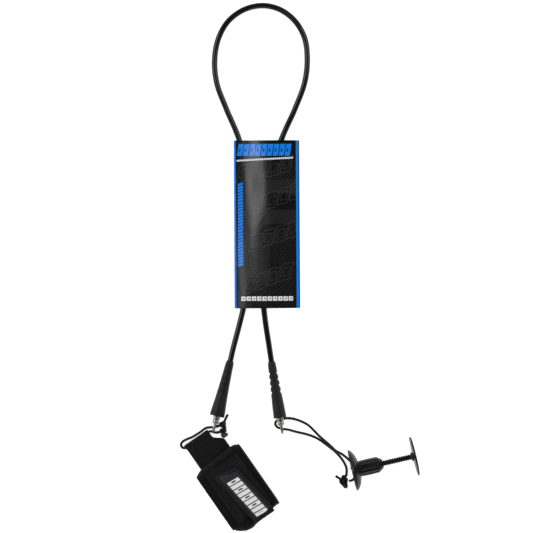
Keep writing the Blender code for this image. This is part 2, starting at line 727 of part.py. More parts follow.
def cup_profile():
    """The cup's (radius, distance along, rib share) from the dish's floor, over the rim, to the bore's floor."""
    tip = BORE_RADIUS + TIP_WALL
    outer = [
        (FLANGE_RADIUS, 0.0004),
        (FLANGE_RADIUS, FLANGE_LIP),
        (0.0200, 0.0029),
        (0.0155, 0.0055),
        (0.0112, 0.0075),
    ]
    dish = [(0.0078, DISH_DEPTH), (0.0100, 0.0063), (0.0140, 0.0044), (0.0185, 0.0020)]
    profile = [(0.0, DISH_DEPTH, 0)]
    profile += [(radius, along, 0) for radius, along in dish]
    profile += [(FLANGE_RADIUS - FLANGE_WALL, 0.0002, 0), (FLANGE_RADIUS - FLANGE_WALL / 2, 0.0, 0)]
    profile += [(radius, along, 0) for radius, along in outer]
    profile += [(TUBE_RADIUS, TUBE_START, 0), (TUBE_RADIUS, TUBE_START + 0.0006, 1), (TUBE_RADIUS, TUBE_END, 1)]
    profile += [(tip, TIP_END, 0), (BORE_RADIUS, TIP_END, 0), (BORE_RADIUS, BORE_FLOOR, 0), (0.0, BORE_FLOOR, 0)]
    return profile


def axis_ring(radius, along, rib_share, segments):
    """A ring about local X, with longitudinal ribs where rib_share is 1."""
    ring = []
    for i in range(segments):
        turn = 2 * math.pi * i / segments
        wave = 0.5 + 0.5 * math.cos(RIB_COUNT * turn)
        r = radius + rib_share * RIB_HEIGHT * wave
        ring.append((along, r * math.cos(turn), r * math.sin(turn)))
    return ring


def axis_turned(profile, segments, around=False):
    """A solid turned about local X from (radius, along, rib share), whose ends may be points on the axis."""
    bm = bmesh.new()
    rings = []
    for radius, along, rib_share in profile:
        if radius == 0.0:
            rings.append([bm.verts.new((along, 0, 0))])
        else:
            rings.append([bm.verts.new(point) for point in axis_ring(radius, along, rib_share, segments)])
    pairs = list(zip(rings, rings[1:] + rings[:1])) if around else list(zip(rings, rings[1:]))
    for ring, following in pairs:
        for i in range(segments):
            j = (i + 1) % segments
            if len(ring) == 1:
                bm.faces.new((ring[0], following[j], following[i]))
            elif len(following) == 1:
                bm.faces.new((ring[i], ring[j], following[0]))
            else:
                bm.faces.new((ring[i], ring[j], following[j], following[i]))
    return bm


def moved(bm, along):
    bmesh.ops.translate(bm, vec=(along, 0, 0), verts=bm.verts)
    return bm


def make_cup(parent, material, from_pivot):
    cup = add_object("plug_cup", moved(axis_turned(cup_profile(), CUP_SEGMENTS), from_pivot), material, parent)
    reach = bar_reach() + GAP
    hole = turned([(BAR_RADIUS + GAP, -reach), (BAR_RADIUS + GAP, reach)], 16)
    boolean(cup, add_object("plug_cup_bar_hole", hole, material, parent))
    return cup


def bar_reach():
    """Half the bar's length: it ends inside the cup's rim."""
    return FLANGE_RADIUS - FLANGE_WALL + BAR_SEAT - 0.0004


def make_bar(parent, material):
    reach = bar_reach()
    profile = [(BAR_RADIUS, -reach), (BAR_RADIUS, reach)]
    return add_object("plug_bar", turned(profile, 16), material, parent)


def make_washer(parent, material, from_pivot):
    inner = BORE_RADIUS
    start = WASHER_END - WASHER_LENGTH
    profile = [(inner, start, 0), (WASHER_RADIUS, start, 0), (WASHER_RADIUS, WASHER_END, 0), (inner, WASHER_END, 0)]
    bm = moved(axis_turned(profile, 24, around=True), from_pivot)
    return add_object("plug_washer", bm, material, parent)


def make_screw(parent, material, from_pivot):
    """A coarse screw with its disc, as one moulding."""
    segments, rows_per_turn = 24, 4
    thread_end = WASHER_END - WASHER_LENGTH
    rows = round((thread_end - SCREW_START) / THREAD_PITCH * rows_per_turn)
    bm = bmesh.new()
    rings = [[bm.verts.new((SCREW_START, 0, 0))]]
    for row in range(rows + 1):
        along = SCREW_START + (thread_end - SCREW_START) * row / rows
        ring = []
        for i in range(segments):
            turn = 2 * math.pi * i / segments
            phase = (along / THREAD_PITCH - i / segments) % 1.0
            crest = 1 - abs(2 * phase - 1)
            depth = THREAD_DEPTH * (1 - min(1.0, 1.5 * crest))
            radius = SCREW_RADIUS - (THREAD_DEPTH if row in (0, rows) else depth)
            ring.append(bm.verts.new((along, radius * math.cos(turn), radius * math.sin(turn))))
        rings.append(ring)
    shank = SCREW_RADIUS - THREAD_DEPTH / 2
    face = DISC_MIDDLE - DISC_THICKNESS / 2
    back = DISC_MIDDLE + DISC_THICKNESS / 2
    edge = 0.0005
    for radius, along in (
        (shank, thread_end + edge),
        (shank, face),
        (DISC_RADIUS - edge, face),
        (DISC_RADIUS, face + edge),
        (DISC_RADIUS, back - edge),
        (DISC_RADIUS - edge, back),
    ):
        rings.append([bm.verts.new(point) for point in axis_ring(radius, along, 0, segments)])
    rings.append([bm.verts.new((back, 0, 0))])
    for ring, following in zip(rings, rings[1:]):
        for i in range(segments):
            j = (i + 1) % segments
            if len(ring) == 1:
                bm.faces.new((ring[0], following[j], following[i]))
            elif len(following) == 1:
                bm.faces.new((ring[i], ring[j], following[0]))
            else:
                bm.faces.new((ring[i], ring[j], following[j], following[i]))
    return add_object("plug_screw", moved(bm, from_pivot), material, parent)


def string_points(side):
    """The centreline of the cuff's string or of the plug's string."""
    if side == "cuff":
        hem = [tuple(cuff_place(HEM_ALONG, share * HEM_LENGTH, HEM_HEIGHT)) for share in (0.0, 0.2, 0.5, 0.8, 1.0)]
        return natural_spline([*CUFF_STRING_ROUTE, *hem, *CUFF_STRING_TAIL], STRING_STEP)
    along = Vector((math.cos(PLUG_TURN), math.sin(PLUG_TURN), 0))
    across = Vector((-math.sin(PLUG_TURN), math.cos(PLUG_TURN), 0))
    behind = BAR_ALONG + BAR_RADIUS + GAP + STRING_RADIUS + 0.0001
    low = -0.0088

    def in_cup(u, v, w):
        return tuple(PLUG_RIM_CENTRE + along * u + across * v + Vector((0, 0, w)))

    bend = [
        in_cup(-0.0012, 0.0125, low - 0.0005),
        in_cup(behind - 0.0018, 0.0058, low),
        in_cup(behind, 0.0000, low),
        in_cup(behind - 0.0018, -0.0058, low),
        in_cup(-0.0008, -0.0110, low - 0.0005),
        in_cup(-0.0050, -0.0118, low - 0.0030),
    ]
    return natural_spline([*PLUG_STRING_ROUTE, *bend], STRING_STEP)


def main():
    clear_scene()
    rubber = finish("horn_rubber", (0.022, 0.022, 0.024), 0.55)
    cord_material = finish("cord_urethane", (0.006, 0.006, 0.007), 0.18)
    steel = finish("stainless", (0.62, 0.60, 0.58), 0.28, 1.0)
    brass = finish("crimp_brass", (0.60, 0.45, 0.20), 0.35, 1.0)
    card = finish("printed_card", (0.010, 0.010, 0.012), 0.25)
    wire = finish("tie_plastic", (0.02, 0.02, 0.02), 0.5)
    braid = finish("braided_string", (0.008, 0.008, 0.008), 0.7)
    webbing = finish("tab_webbing", (0.012, 0.012, 0.012), 0.8)
    foam = finish("neoprene", (0.012, 0.012, 0.013), 0.75)
    trim = finish("edge_binding", (0.010, 0.010, 0.010), 0.8)
    patch = finish("closure_patch", (0.008, 0.008, 0.008), 0.95)
    flap_cloth = finish("flap_nylon", (0.012, 0.012, 0.014), 0.7)
    print_base = finish("label_print", (0.02, 0.02, 0.022), 0.4)
    plastic = finish("plug_plastic", (0.016, 0.015, 0.016), 0.35)

    layout = empty("layout", (-LAYOUT_X, -LAYOUT_Y, 0))
    tube("leash_cord", cord_points(), CORD_RADIUS, 3, cord_material, layout)
    make_card(layout, card)
    make_tie(layout, wire)

    ends = (
        ("cuff", CUFF_HORN_FACE, CUFF_HORN_CORD_END, False),
        ("plug", PLUG_HORN_FACE, PLUG_HORN_CORD_END, True),
    )
    for end, face, cord_end, broad_up in ends:
        horn = empty(end + "_horn_axis", face, layout, horn_turn(face, cord_end, broad_up))
        make_horn(end + "_horn", horn, rubber)
        make_ferrule(end + "_ferrule", horn, brass)
        make_barrel(end + "_swivel_barrel", horn, steel)
        spin = empty(end + "_swivel_spin", face, layout, horn_turn(face, cord_end, True))
        make_stud(end + "_swivel_stud", spin, steel)
        make_bow(end + "_swivel_bow", spin, steel)

    tube("cuff_string", string_points("cuff"), STRING_RADIUS, 2, braid, layout)
    make_knot("cuff_string_knot", CUFF_KNOT_LUMPS, CUFF_KNOT_TAILS, braid, layout)
    tube("plug_string", string_points("plug"), STRING_RADIUS, 2, braid, layout)
    make_knot("plug_string_knot", PLUG_KNOT_LUMPS, PLUG_KNOT_TAILS, braid, layout)

    cuff_turn = Matrix.Rotation(CUFF_ANGLE, 3, "Z").to_quaternion()
    hem = empty("cuff_hem_hinge", cuff_place(HEM_ALONG, 0, HEM_HEIGHT), layout, cuff_turn)
    flap_turn = Matrix.Rotation(CUFF_ANGLE + FLAP_SKEW, 3, "Z").to_quaternion()
    flap_place = cuff_place(FLAP_ROOT_ALONG, FLAP_ROOT_ACROSS, FLAP_PIVOT_HEIGHT)
    flap = empty("cuff_flap_hinge", flap_place, layout, flap_turn)
    make_cuff(hem, flap, webbing, foam, trim, patch, flap_cloth, print_base)

    plug_turn = Matrix.Rotation(PLUG_TURN, 3, "Z")
    bar_place = PLUG_RIM_CENTRE + plug_turn @ Vector((BAR_ALONG, 0, 0))
    bar = empty("plug_bar_hinge", bar_place, layout, plug_turn.to_quaternion())
    make_cup(bar, plastic, -BAR_ALONG)
    make_bar(bar, steel)
    make_washer(bar, wire, -BAR_ALONG)
    make_screw(bar, plastic, -BAR_ALONG)


main()
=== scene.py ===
"""Bodyboard leash folded through a printed card sleeve, with a padded cuff and a screw-together board plug.

Surfaces and finishes round the leash's firm frame. Metres, +Z up. Routes are given in layout coordinates,
measured from the middle of the laid-out leash, and LAYOUT_SHIFT carries them into the frame's own coordinates.
"""

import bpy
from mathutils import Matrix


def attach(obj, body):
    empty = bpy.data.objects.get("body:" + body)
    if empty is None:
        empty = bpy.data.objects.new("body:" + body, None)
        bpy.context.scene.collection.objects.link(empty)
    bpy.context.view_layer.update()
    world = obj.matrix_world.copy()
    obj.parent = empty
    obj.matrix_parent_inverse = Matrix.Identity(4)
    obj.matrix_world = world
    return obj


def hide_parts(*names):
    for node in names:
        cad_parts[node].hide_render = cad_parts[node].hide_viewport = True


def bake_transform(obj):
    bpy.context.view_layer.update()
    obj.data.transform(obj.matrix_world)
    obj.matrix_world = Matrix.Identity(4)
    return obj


bl_info = {
    "name": "Bodyboard leash",
    "version": (1, 0, 0),
    "blender": (4, 5, 0),
    "location": "View3D > Sidebar > Leash",
    "description": "Builds the finished surfaces of a bodyboard leash in its card sleeve",
    "category": "Object",
}

import math

import bpy
import numpy as np
from mathutils import Matrix, Vector, noise

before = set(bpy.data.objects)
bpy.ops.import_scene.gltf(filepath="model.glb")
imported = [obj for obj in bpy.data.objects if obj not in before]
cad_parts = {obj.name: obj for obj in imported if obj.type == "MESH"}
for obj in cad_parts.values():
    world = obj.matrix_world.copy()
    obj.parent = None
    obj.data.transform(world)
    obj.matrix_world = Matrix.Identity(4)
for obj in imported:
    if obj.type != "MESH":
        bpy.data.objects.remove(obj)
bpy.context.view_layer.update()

MM = 0.001
TURN = 2 * math.pi
QUARTER = math.pi / 2
AXIS_RADIUS = 1e-5
LAYOUT_SHIFT = Vector((-0.038185, 0.076202, 0.0))

# Horns and swivels
CUFF_HORN = (Vector((-0.0545, -0.1645, 0.0076)), Vector((-0.0399, -0.1040, 0.0047)), False)
PLUG_HORN = (Vector((0.0149, -0.1663, 0.0084)), Vector((0.0053, -0.1040, 0.0047)), True)
CORD_END_DEPTH = 0.0145
HORN_SECTIONS = [
    (0.0000, 0.0074, 0.0066),
    (0.0012, 0.0081, 0.0071),
    (0.0060, 0.0078, 0.0069),
    (0.0150, 0.0070, 0.0065),
    (0.0220, 0.0064, 0.0061),
    (0.0360, 0.0055, 0.0054),
    (0.0500, 0.0048, 0.0048),
    (0.0595, 0.0044, 0.0044),
    (0.0623, 0.0037, 0.0037),
]
SLOT_FIRST, SLOT_PITCH, SLOT_COUNT = 0.0285, 0.0069, 4
SLOT_LENGTH, SLOT_WIDTH, SLOT_DEPTH = 0.0026, 0.0062, 0.0009
BARREL_RADIUS, BARREL_OUT, BARREL_DEPTH = 0.0039, 0.0036, 0.0117
BLOCK_LENGTH, BLOCK_WIDTH, BLOCK_HALF = 0.0042, 0.0074, 0.0066
BOW_WIRE, BOW_LEG, BOW_TIP = 0.0016, 0.0039, 0.0182

# Leash cord, from horn to horn
CORD_DIAMETER = 0.0064
CORD_ROUTE = [
    (-0.0366, -0.0900, 0.0046),
    (-0.0259, -0.0479, 0.0044),
    (-0.0162, 0.0000, 0.0048),
    (-0.0133, 0.0347, 0.0052),
    (-0.0165, 0.0800, 0.0050),
    (-0.0301, 0.1394, 0.0044),
    (-0.0444, 0.1739, 0.0034),
    (-0.0546, 0.2013, 0.0034),
    (-0.0572, 0.2260, 0.0034),
    (-0.0533, 0.2500, 0.0034),
    (-0.0427, 0.2695, 0.0034),
    (-0.0252, 0.2827, 0.0034),
    (-0.0045, 0.2874, 0.0034),
    (0.0148, 0.2830, 0.0034),
    (0.0312, 0.2705, 0.0034),
    (0.0420, 0.2515, 0.0034),
    (0.0449, 0.2275, 0.0034),
    (0.0420, 0.2025, 0.0034),
    (0.0315, 0.1739, 0.0034),
    (0.0164, 0.1399, 0.0044),
    (-0.0022, 0.0800, 0.0050),
    (-0.0065, 0.0347, 0.0052),
    (-0.0055, 0.0000, 0.0048),
    (-0.0028, -0.0479, 0.0044),
    (0.0032, -0.0900, 0.0046),
]

# Braided strings
STRING_DIAMETER = 0.0029
CUFF_STRING_ROUTE = [
    (-0.0526, -0.1756, 0.0075),
    (-0.0573, -0.1763, 0.0076),
    (-0.0616, -0.1768, 0.0066),
    (-0.0664, -0.1777, 0.0048),
    (-0.0735, -0.1827, 0.0032),
    (-0.0820, -0.1879, 0.0028),
    (-0.0888, -0.1907, 0.0027),
    (-0.0927, -0.1932, 0.0027),
    (-0.0942, -0.1965, 0.0028),
    (-0.0925, -0.1995, 0.0030),
]
CUFF_STRING_TAIL = [
    (-0.0603, -0.1817, 0.0027),
    (-0.0573, -0.1828, 0.0020),
    (-0.0530, -0.1830, 0.0030),
]
PLUG_STRING_CUT = 0.0540
PLUG_STRING_BEND = (
    (0.0185, -0.1785, 0.0),
    (0.0480, -0.1860, 0.0),
    (0.0600, -0.1915, 0.0),
    (0.0860, -0.2080, 0.0),
)
PLUG_STRING_ROUTE = [
    (0.0876, -0.2298, 0.0108),
    (0.0880, -0.2222, 0.0072),
    (0.0840, -0.2136, 0.0034),
    (0.0770, -0.2053, 0.0018),
    (0.0699, -0.1994, 0.0017),
    (0.0558, -0.1894, 0.0017),
    (0.0452, -0.1852, 0.0017),
    (0.0330, -0.1822, 0.0022),
    (0.0235, -0.1793, 0.0076),
    (0.0165, -0.1781, 0.0087),
    (0.0122, -0.1767, 0.0082),
    (0.0097, -0.1735, 0.0052),
    (0.0110, -0.1702, 0.0022),
    (0.0150, -0.1684, 0.0017),
    (0.0198, -0.1674, 0.0017),
    (0.0270, -0.1674, 0.0017),
    (0.0347, -0.1693, 0.0017),
    (0.0452, -0.1742, 0.0030),
    (0.0520, -0.1803, 0.0045),
    (0.0573, -0.1858, 0.0050),
    (0.0640, -0.1917, 0.0050),
    (0.0699, -0.1968, 0.0058),
    (0.0761, -0.2024, 0.0080),
    (0.0830, -0.2060, 0.0112),
]

# Card sleeve
CARD_WIDTH, CARD_LENGTH, CARD_THICKNESS = 0.0722, 0.1845, 0.0005
CARD_SIDE_HEIGHT, CARD_CROWN = 0.0086, 0.0024
CARD_CENTRE, CARD_TURN = Vector((0.0004, 0.0464, 0.0)), math.radians(0.34)

# Cuff, in its own directions: along from the hem, across from the left edge, and up
CUFF_CORNER, CUFF_ANGLE = Vector((-0.0909, -0.1973, 0.0)), math.radians(34.8)
HEM_ALONG, HEM_HEIGHT, HEM_RADIUS, HEM_LENGTH = 0.0030, 0.0031, 0.0030, 0.0310
TAB_WIDTH, TAB_END, TAB_TOP, TAB_BASE = 0.0410, 0.1040, 0.0024, 0.0001
TAB_CORNER_STARTS, TAB_CORNER_ENDS = 0.0090, 0.0200
HEM_BORE, HEM_SIDES = 0.0018, 40
PAD_LEFT, PAD_RIGHT, PAD_WALL = -0.0078, 0.0508, 0.0040
PAD_BASE, PAD_TOP = 0.0027, 0.0167
PAD_ROWS = 36
PAD_STARTS = [(-0.0078, 0.0360), (-0.0040, 0.0330), (0.0010, 0.0312), (0.0455, 0.0288), (0.0508, 0.0325)]
PAD_ENDS = [
    (-0.0078, 0.1065),
    (-0.0035, 0.1120),
    (0.0040, 0.1165),
    (0.0104, 0.1180),
    (0.0300, 0.1148),
    (0.0508, 0.1112),
]
BINDING_WIDTH = 0.0015
STRAP_BOX = ((0.0010, 0.0445), (0.0395, 0.1040), (0.0170, 0.0182))
LOOP_PATCH_BOX = ((0.0070, 0.0430), (0.0440, 0.1000), (0.0185, 0.0193))
FLAP_ROOT = (0.1115, 0.0304, 0.0216)
FLAP_SKEW = math.radians(7.6)
FLAP_WIDTH, FLAP_LEFT, FLAP_RIGHT = 0.0256, 0.0670, 0.0602
FLAP_HALF_THICKNESS = 0.0010
HOOK_MARGIN, HOOK_LENGTH = 0.0020, 0.0300
LABEL_MARGIN = 0.0022
BORDER_MIDDLE = 0.0015

# Plug, along its axis from the rim of the cup
PLUG_RIM_CENTRE, PLUG_TURN = Vector((0.0932, -0.2227, 0.0228)), math.radians(13.0)
FLANGE_RADIUS, DISH_DEPTH = 0.0227, 0.0072
TUBE_RADIUS, TUBE_START, TUBE_END, TIP_END = 0.0083, 0.0088, 0.0296, 0.0347
BORE_RADIUS, BORE_FLOOR, RIB_COUNT, RIB_HEIGHT = 0.00355, 0.0090, 12, 0.0005
BAR_ALONG, BAR_RADIUS, BAR_REACH = 0.0014, 0.0012, 0.0217
SCREW_RADIUS, THREAD_PITCH, THREAD_DEPTH = 0.00325, 0.0025, 0.0007
SCREW_START, THREAD_END = 0.0300, 0.0662
DISC_RADIUS, DISC_FACE, DISC_BACK = 0.0218, 0.0689, 0.0711
WASHER_RADIUS, WASHER_START, WASHER_END = 0.0046, 0.0662, 0.0686


def length_property(name, description, default, least):
    return bpy.props.FloatProperty(
        name=name, description=description, default=default, min=least, subtype="DISTANCE", unit="LENGTH"
    )


class LeashSizes(bpy.types.PropertyGroup):
    cord_step: length_property("Cord step", "Distance between the cord's rings", 0.0015, 0.0005)
    string_step: length_property(
        "String step", "Distance between the rings of a braided string", 0.00036, 0.0002
    )
    braid_pitch: length_property(
        "Braid pitch", "Length of string in which a strand goes once round", 0.0110, 0.002
    )
    braid_relief: length_property(
        "Braid relief", "How far a strand stands above the gaps beside it", 0.00028, 0.0
    )
    weave_relief: length_property("Weave relief", "Height of the webbing's yarns", 0.00010, 0.0)
    pad_swell: length_property("Pad swell", "Furthest that the pad's skin may swell", 0.0014, 0.0)
    pad_pressure: bpy.props.FloatProperty(
        name="Pad pressure", description="Pressure inside the pad while it swells", default=160.0, min=0.0
    )
    stitch_length: length_property("Stitch length", "Length of one stitch", 0.0021, 0.0005)
    stitch_gap: length_property("Stitch spacing", "Distance from one stitch to the next", 0.0029, 0.0005)
    pile_density: bpy.props.FloatProperty(
        name="Pile density", description="Loops or hooks in a square metre", default=900000.0, min=1000.0
    )


def colour_property(name, description, default):
    return bpy.props.FloatVectorProperty(
        name=name, description=description, default=default, size=3, min=0.0, max=1.0, subtype="COLOR"
    )


class LeashColours(bpy.types.PropertyGroup):
    cord: colour_property("Cord", "Colour of the leash cord", (0.002, 0.002, 0.0025))
    horn: colour_property("Horns", "Colour of the rubber horns", (0.010, 0.010, 0.011))
    string: colour_property("Strings", "Colour of the braided strings", (0.008, 0.008, 0.009))
    webbing: colour_property("Webbing", "Colour of the tab and strap", (0.012, 0.012, 0.012))
    pad: colour_property("Pad", "Colour of the pad's knit face", (0.0055, 0.0058, 0.0068))
    trim: colour_property("Trim", "Colour of the binding tape", (0.005, 0.005, 0.006))
    flap: colour_property("Flap", "Colour of the closing flap", (0.0075, 0.0072, 0.0088))
    plug: colour_property("Plug", "Colour of the plug's plastic", (0.0050, 0.0048, 0.0050))
    card_ink: colour_property("Card ink", "Colour of the card's ground", (0.0025, 0.0025, 0.003))
    card_blue: colour_property("Card blue", "Colour of the card's stripes and blocks", (0.006, 0.270, 1.000))
    print_white: colour_property("Print white", "Colour of the white print", (0.98, 0.98, 0.98))


def sizes():
    return bpy.context.scene.leash_sizes


def colours():
    return bpy.context.scene.leash_colours


# ---------------------------------------------------------------- places


def placed(point):
    """A layout point in the frame's coordinates."""
    return Vector(point) + LAYOUT_SHIFT


def axes(origin, x, y, z):
    """A matrix from its origin and its three directions."""
    matrix = Matrix((x, y, z)).transposed().to_4x4()
    matrix.translation = origin
    return matrix


def horn_frame(horn, spin=False):
    """The horn's own frame: Z outwards from its face, X across its broad side. A swivel stands with X up."""
    face, cord_end, broad_up = horn
    axis = (face - cord_end).normalized()
    level = Vector((0, 0, 1)).cross(axis).normalized()
    up = axis.cross(level)
    broad, narrow = (up, -level) if broad_up or spin else (level, up)
    return axes(placed(face), broad, narrow, axis)


def cuff_frame():
    """X across the cuff, Y back towards the hem, Z up from the ground."""
    turn = Matrix.Rotation(CUFF_ANGLE, 4, "Z")
    return Matrix.Translation(placed(CUFF_CORNER)) @ turn


def cuff_point(along, across, height):
    return cuff_frame() @ Vector((across, -along, height))


def flap_frame():
    """X across the flap, Y towards its free end, Z up from the middle of its thickness."""
    along, across, height = FLAP_ROOT
    turn = Matrix.Rotation(CUFF_ANGLE + FLAP_SKEW, 4, "Z")
    return Matrix.Translation(cuff_point(along, across, height)) @ turn


def plug_frame():
    """X along the plug's axis from the cup's rim, Z up."""
    return Matrix.Translation(placed(PLUG_RIM_CENTRE)) @ Matrix.Rotation(PLUG_TURN, 4, "Z")


def card_frame():
    return Matrix.Translation(placed(CARD_CENTRE)) @ Matrix.Rotation(CARD_TURN, 4, "Z")


def table_value(table, wanted):
    """The value of a (place, value) table at a place."""
    for (a, first), (b, second) in zip(table, table[1:]):
        if wanted <= b:
            return first + (second - first) * max(0.0, wanted - a) / (b - a)
    return table[-1][1]


def smooth_step(low, high, value):
    share = min(1.0, max(0.0, (value - low) / (high - low)))
    return share * share * (3 - 2 * share)


def spline_points(points, step):
    """Evenly spaced points on the smooth curve that passes through the route's own points."""
    points = [Vector(p) for p in points]
    knots = [0.0]
    for a, b in zip(points, points[1:]):
        knots.append(knots[-1] + math.sqrt((b - a).length))
    count = len(points)
    slopes = [None] * count
    for i in range(1, count - 1):
        before = (points[i] - points[i - 1]) / (knots[i] - knots[i - 1])
        after = (points[i + 1] - points[i]) / (knots[i + 1] - knots[i])
        span = knots[i + 1] - knots[i - 1]
        slopes[i] = before * ((knots[i + 1] - knots[i]) / span) + after * ((knots[i] - knots[i - 1]) / span)
    slopes[0] = (points[1] - points[0]) / (knots[1] - knots[0])
    slopes[-1] = (points[-1] - points[-2]) / (knots[-1] - knots[-2])
    fine = []
    for i in range(count - 1):
        width = knots[i + 1] - knots[i]
        for k in range(24):
            t = k / 24
            fine.append(
                points[i] * (2 * t**3 - 3 * t**2 + 1)
                + slopes[i] * width * (t**3 - 2 * t**2 + t)
                + points[i + 1] * (3 * t**2 - 2 * t**3)
                + slopes[i + 1] * width * (t**3 - t**2)
            )
    fine.append(points[-1])
    travelled = [0.0]
    for a, b in zip(fine, fine[1:]):
        travelled.append(travelled[-1] + (b - a).length)
    pieces = max(2, round(travelled[-1] / step))
    out, at = [], 0
    for k in range(pieces + 1):
        wanted = travelled[-1] * k / pieces
        while at < len(fine) - 2 and travelled[at + 1] < wanted:
            at += 1
        run = travelled[at + 1] - travelled[at]
        out.append(fine[at].lerp(fine[at + 1], (wanted - travelled[at]) / run))
    return out


def path_length(points):
    return sum((b - a).length for a, b in zip(points, points[1:]))


# ---------------------------------------------------------------- meshes


class Shell:
    """Vertices, faces and face-corner coordinates that grow into one mesh."""

    def __init__(self):
        self.points, self.faces, self.corners, self.slots = [], [], [], []

    def grid(self, rings, around=True, ends=False, caps=True, along=None, slot=0):
        """Joins rings with quads. around closes each ring, ends joins last to first, caps fill the ends."""
        start, size, count = len(self.points), len(rings[0]), len(rings)
        for ring in rings:
            self.points.extend(ring)
        along = along or [i / max(1, count - 1) for i in range(count)]
        for i in range(count if ends else count - 1):
            j = (i + 1) % count
            low, high = along[i], along[j] if j else along[-1] + (along[-1] - along[-2])
            for k in range(size if around else size - 1):
                m = (k + 1) % size
                u0, u1 = k / size, (k + 1) / size
                self.faces.append(
                    (start + i * size + k, start + i * size + m, start + j * size + m, start + j * size + k)
                )
                self.corners.append(((u0, low), (u1, low), (u1, high), (u0, high)))
                self.slots.append(slot)
        if caps and not ends and around:
            for base, flip in ((start, True), (start + (count - 1) * size, False)):
                face = [base + k for k in range(size)]
                if flip:
                    face.reverse()
                self.faces.append(tuple(face))
                self.corners.append(tuple((0.0, 0.0) for _ in face))
                self.slots.append(slot)
        return self

    def add(self, other, slot=None):
        start = len(self.points)
        self.points.extend(other.points)
        self.faces.extend(tuple(v + start for v in face) for face in other.faces)
        self.corners.extend(other.corners)
        self.slots.extend(other.slots if slot is None else [slot] * len(other.faces))
        return self

    def moved(self, matrix):
        self.points = [matrix @ Vector(p) for p in self.points]
        return self


def hoop(rings):
    """A closed shell from rings whose last one joins the first."""
    return Shell().grid(rings, ends=True, caps=False)


def circle(radius, along, sides, axis="X"):
    """A ring round the X axis, or round Z."""
    ring = []
    for k in range(sides):
        a, b = radius * math.cos(TURN * k / sides), radius * math.sin(TURN * k / sides)
        ring.append(Vector((along, a, b)) if axis == "X" else Vector((a, b, along)))
    return ring


def arc(x, y, radius, start, sweep, steps, first=0):
    """Points of an arc round a centre, without its last one."""
    out = []
    for i in range(first, steps):
        turn = start + sweep * i / steps
        out.append((x + radius * math.cos(turn), y + radius * math.sin(turn)))
    return out


def facing_out(mesh):
    """Turns a closed mesh's faces outwards, shell by shell, by the sign of each shell's volume."""
    count = len(mesh.vertices)
    points = np.empty(count * 3)
    mesh.vertices.foreach_get("co", points)
    points = points.reshape(-1, 3)
    parent = list(range(count))

    def root(v):
        while parent[v] != v:
            parent[v] = parent[parent[v]]
            v = parent[v]
        return v

    for edge in mesh.edges:
        a, b = root(edge.vertices[0]), root(edge.vertices[1])
        if a != b:
            parent[a] = b
    mesh.calc_loop_triangles()
    volume, members = {}, {}
    for triangle in mesh.loop_triangles:
        a, b, c = (points[v] for v in triangle.vertices)
        shell = root(triangle.vertices[0])
        volume[shell] = volume.get(shell, 0.0) + float(a @ np.cross(b, c))
    for polygon in mesh.polygons:
        members.setdefault(root(polygon.vertices[0]), []).append(polygon)
    for shell, polygons in members.items():
        if volume.get(shell, 0.0) < 0:
            for polygon in polygons:
                polygon.flip()


def build(name, shell, materials, matrix, smooth_angle=40, keep_place=True):
    """A named mesh at the origin from a shell in its own frame. Each vertex keeps its own place, in millimetres."""
    mesh = bpy.data.meshes.new(name)
    mesh.from_pydata([tuple(matrix @ Vector(p)) for p in shell.points], [], shell.faces)
    layer = mesh.uv_layers.new(name="surface")
    flat = np.array([c for face in shell.corners for c in face], np.float32).ravel()
    layer.data.foreach_set("uv", flat)
    mesh.polygons.foreach_set("material_index", shell.slots)
    if keep_place:
        spot = mesh.attributes.new("place", "FLOAT_VECTOR", "POINT")
        own = np.array([tuple(Vector(p) / MM) for p in shell.points], np.float32).ravel()
        spot.data.foreach_set("vector", own)
    facing_out(mesh)
    mesh.validate()
    mesh.shade_smooth()
    mesh.set_sharp_from_angle(angle=math.radians(smooth_angle))
    for material in materials if isinstance(materials, (list, tuple)) else [materials]:
        mesh.materials.append(material)
    thing = bpy.data.objects.new(name, mesh)
    bpy.context.scene.collection.objects.link(thing)
    return thing


def fit(thing, body, slot, *nodes):
    """Rides a piece on a body, in place of the firm nodes that it covers."""
    if nodes:
        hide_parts(*nodes)
    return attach(thing, body)


def lathe(profile, segments=96, ripple=None, axis="Z"):
    """Rings of a turned solid from (radius, along) pairs. ripple(turn, radius, along) gives a new radius."""
    rings = []
    for radius, along in profile:
        ring = []
        for k in range(segments):
            turn = TURN * k / segments
            r = max(radius, 1e-6)
            if ripple:
                r = max(1e-6, ripple(turn, radius, along))
            x, y = r * math.cos(turn), r * math.sin(turn)
            ring.append(Vector((x, y, along)) if axis == "Z" else Vector((along, x, y)))
        rings.append(ring)
    return rings


def rounded(profile, radius=0.0003, steps=3):
    """A profile whose corners are turned into short arcs."""
    out = []
    count = len(profile)
    for i, (x, y) in enumerate(profile):
        here = Vector((x, y))
        before, after = Vector(profile[i - 1]), Vector(profile[(i + 1) % count])
        ahead, back = after - here, before - here
        if ahead.length < 1e-9 or back.length < 1e-9 or abs(
            ahead.normalized().cross(back.normalized())
        ) < 0.08:
            out.append((x, y))
            continue
        cut = min(radius, ahead.length * 0.45, back.length * 0.45)
        a, b = here + back.normalized() * cut, here + ahead.normalized() * cut
        for k in range(steps + 1):
            t = k / steps
            p = a * (1 - t) ** 2 + here * (2 * t * (1 - t)) + b * t**2
            out.append((p.x, p.y))
    return out


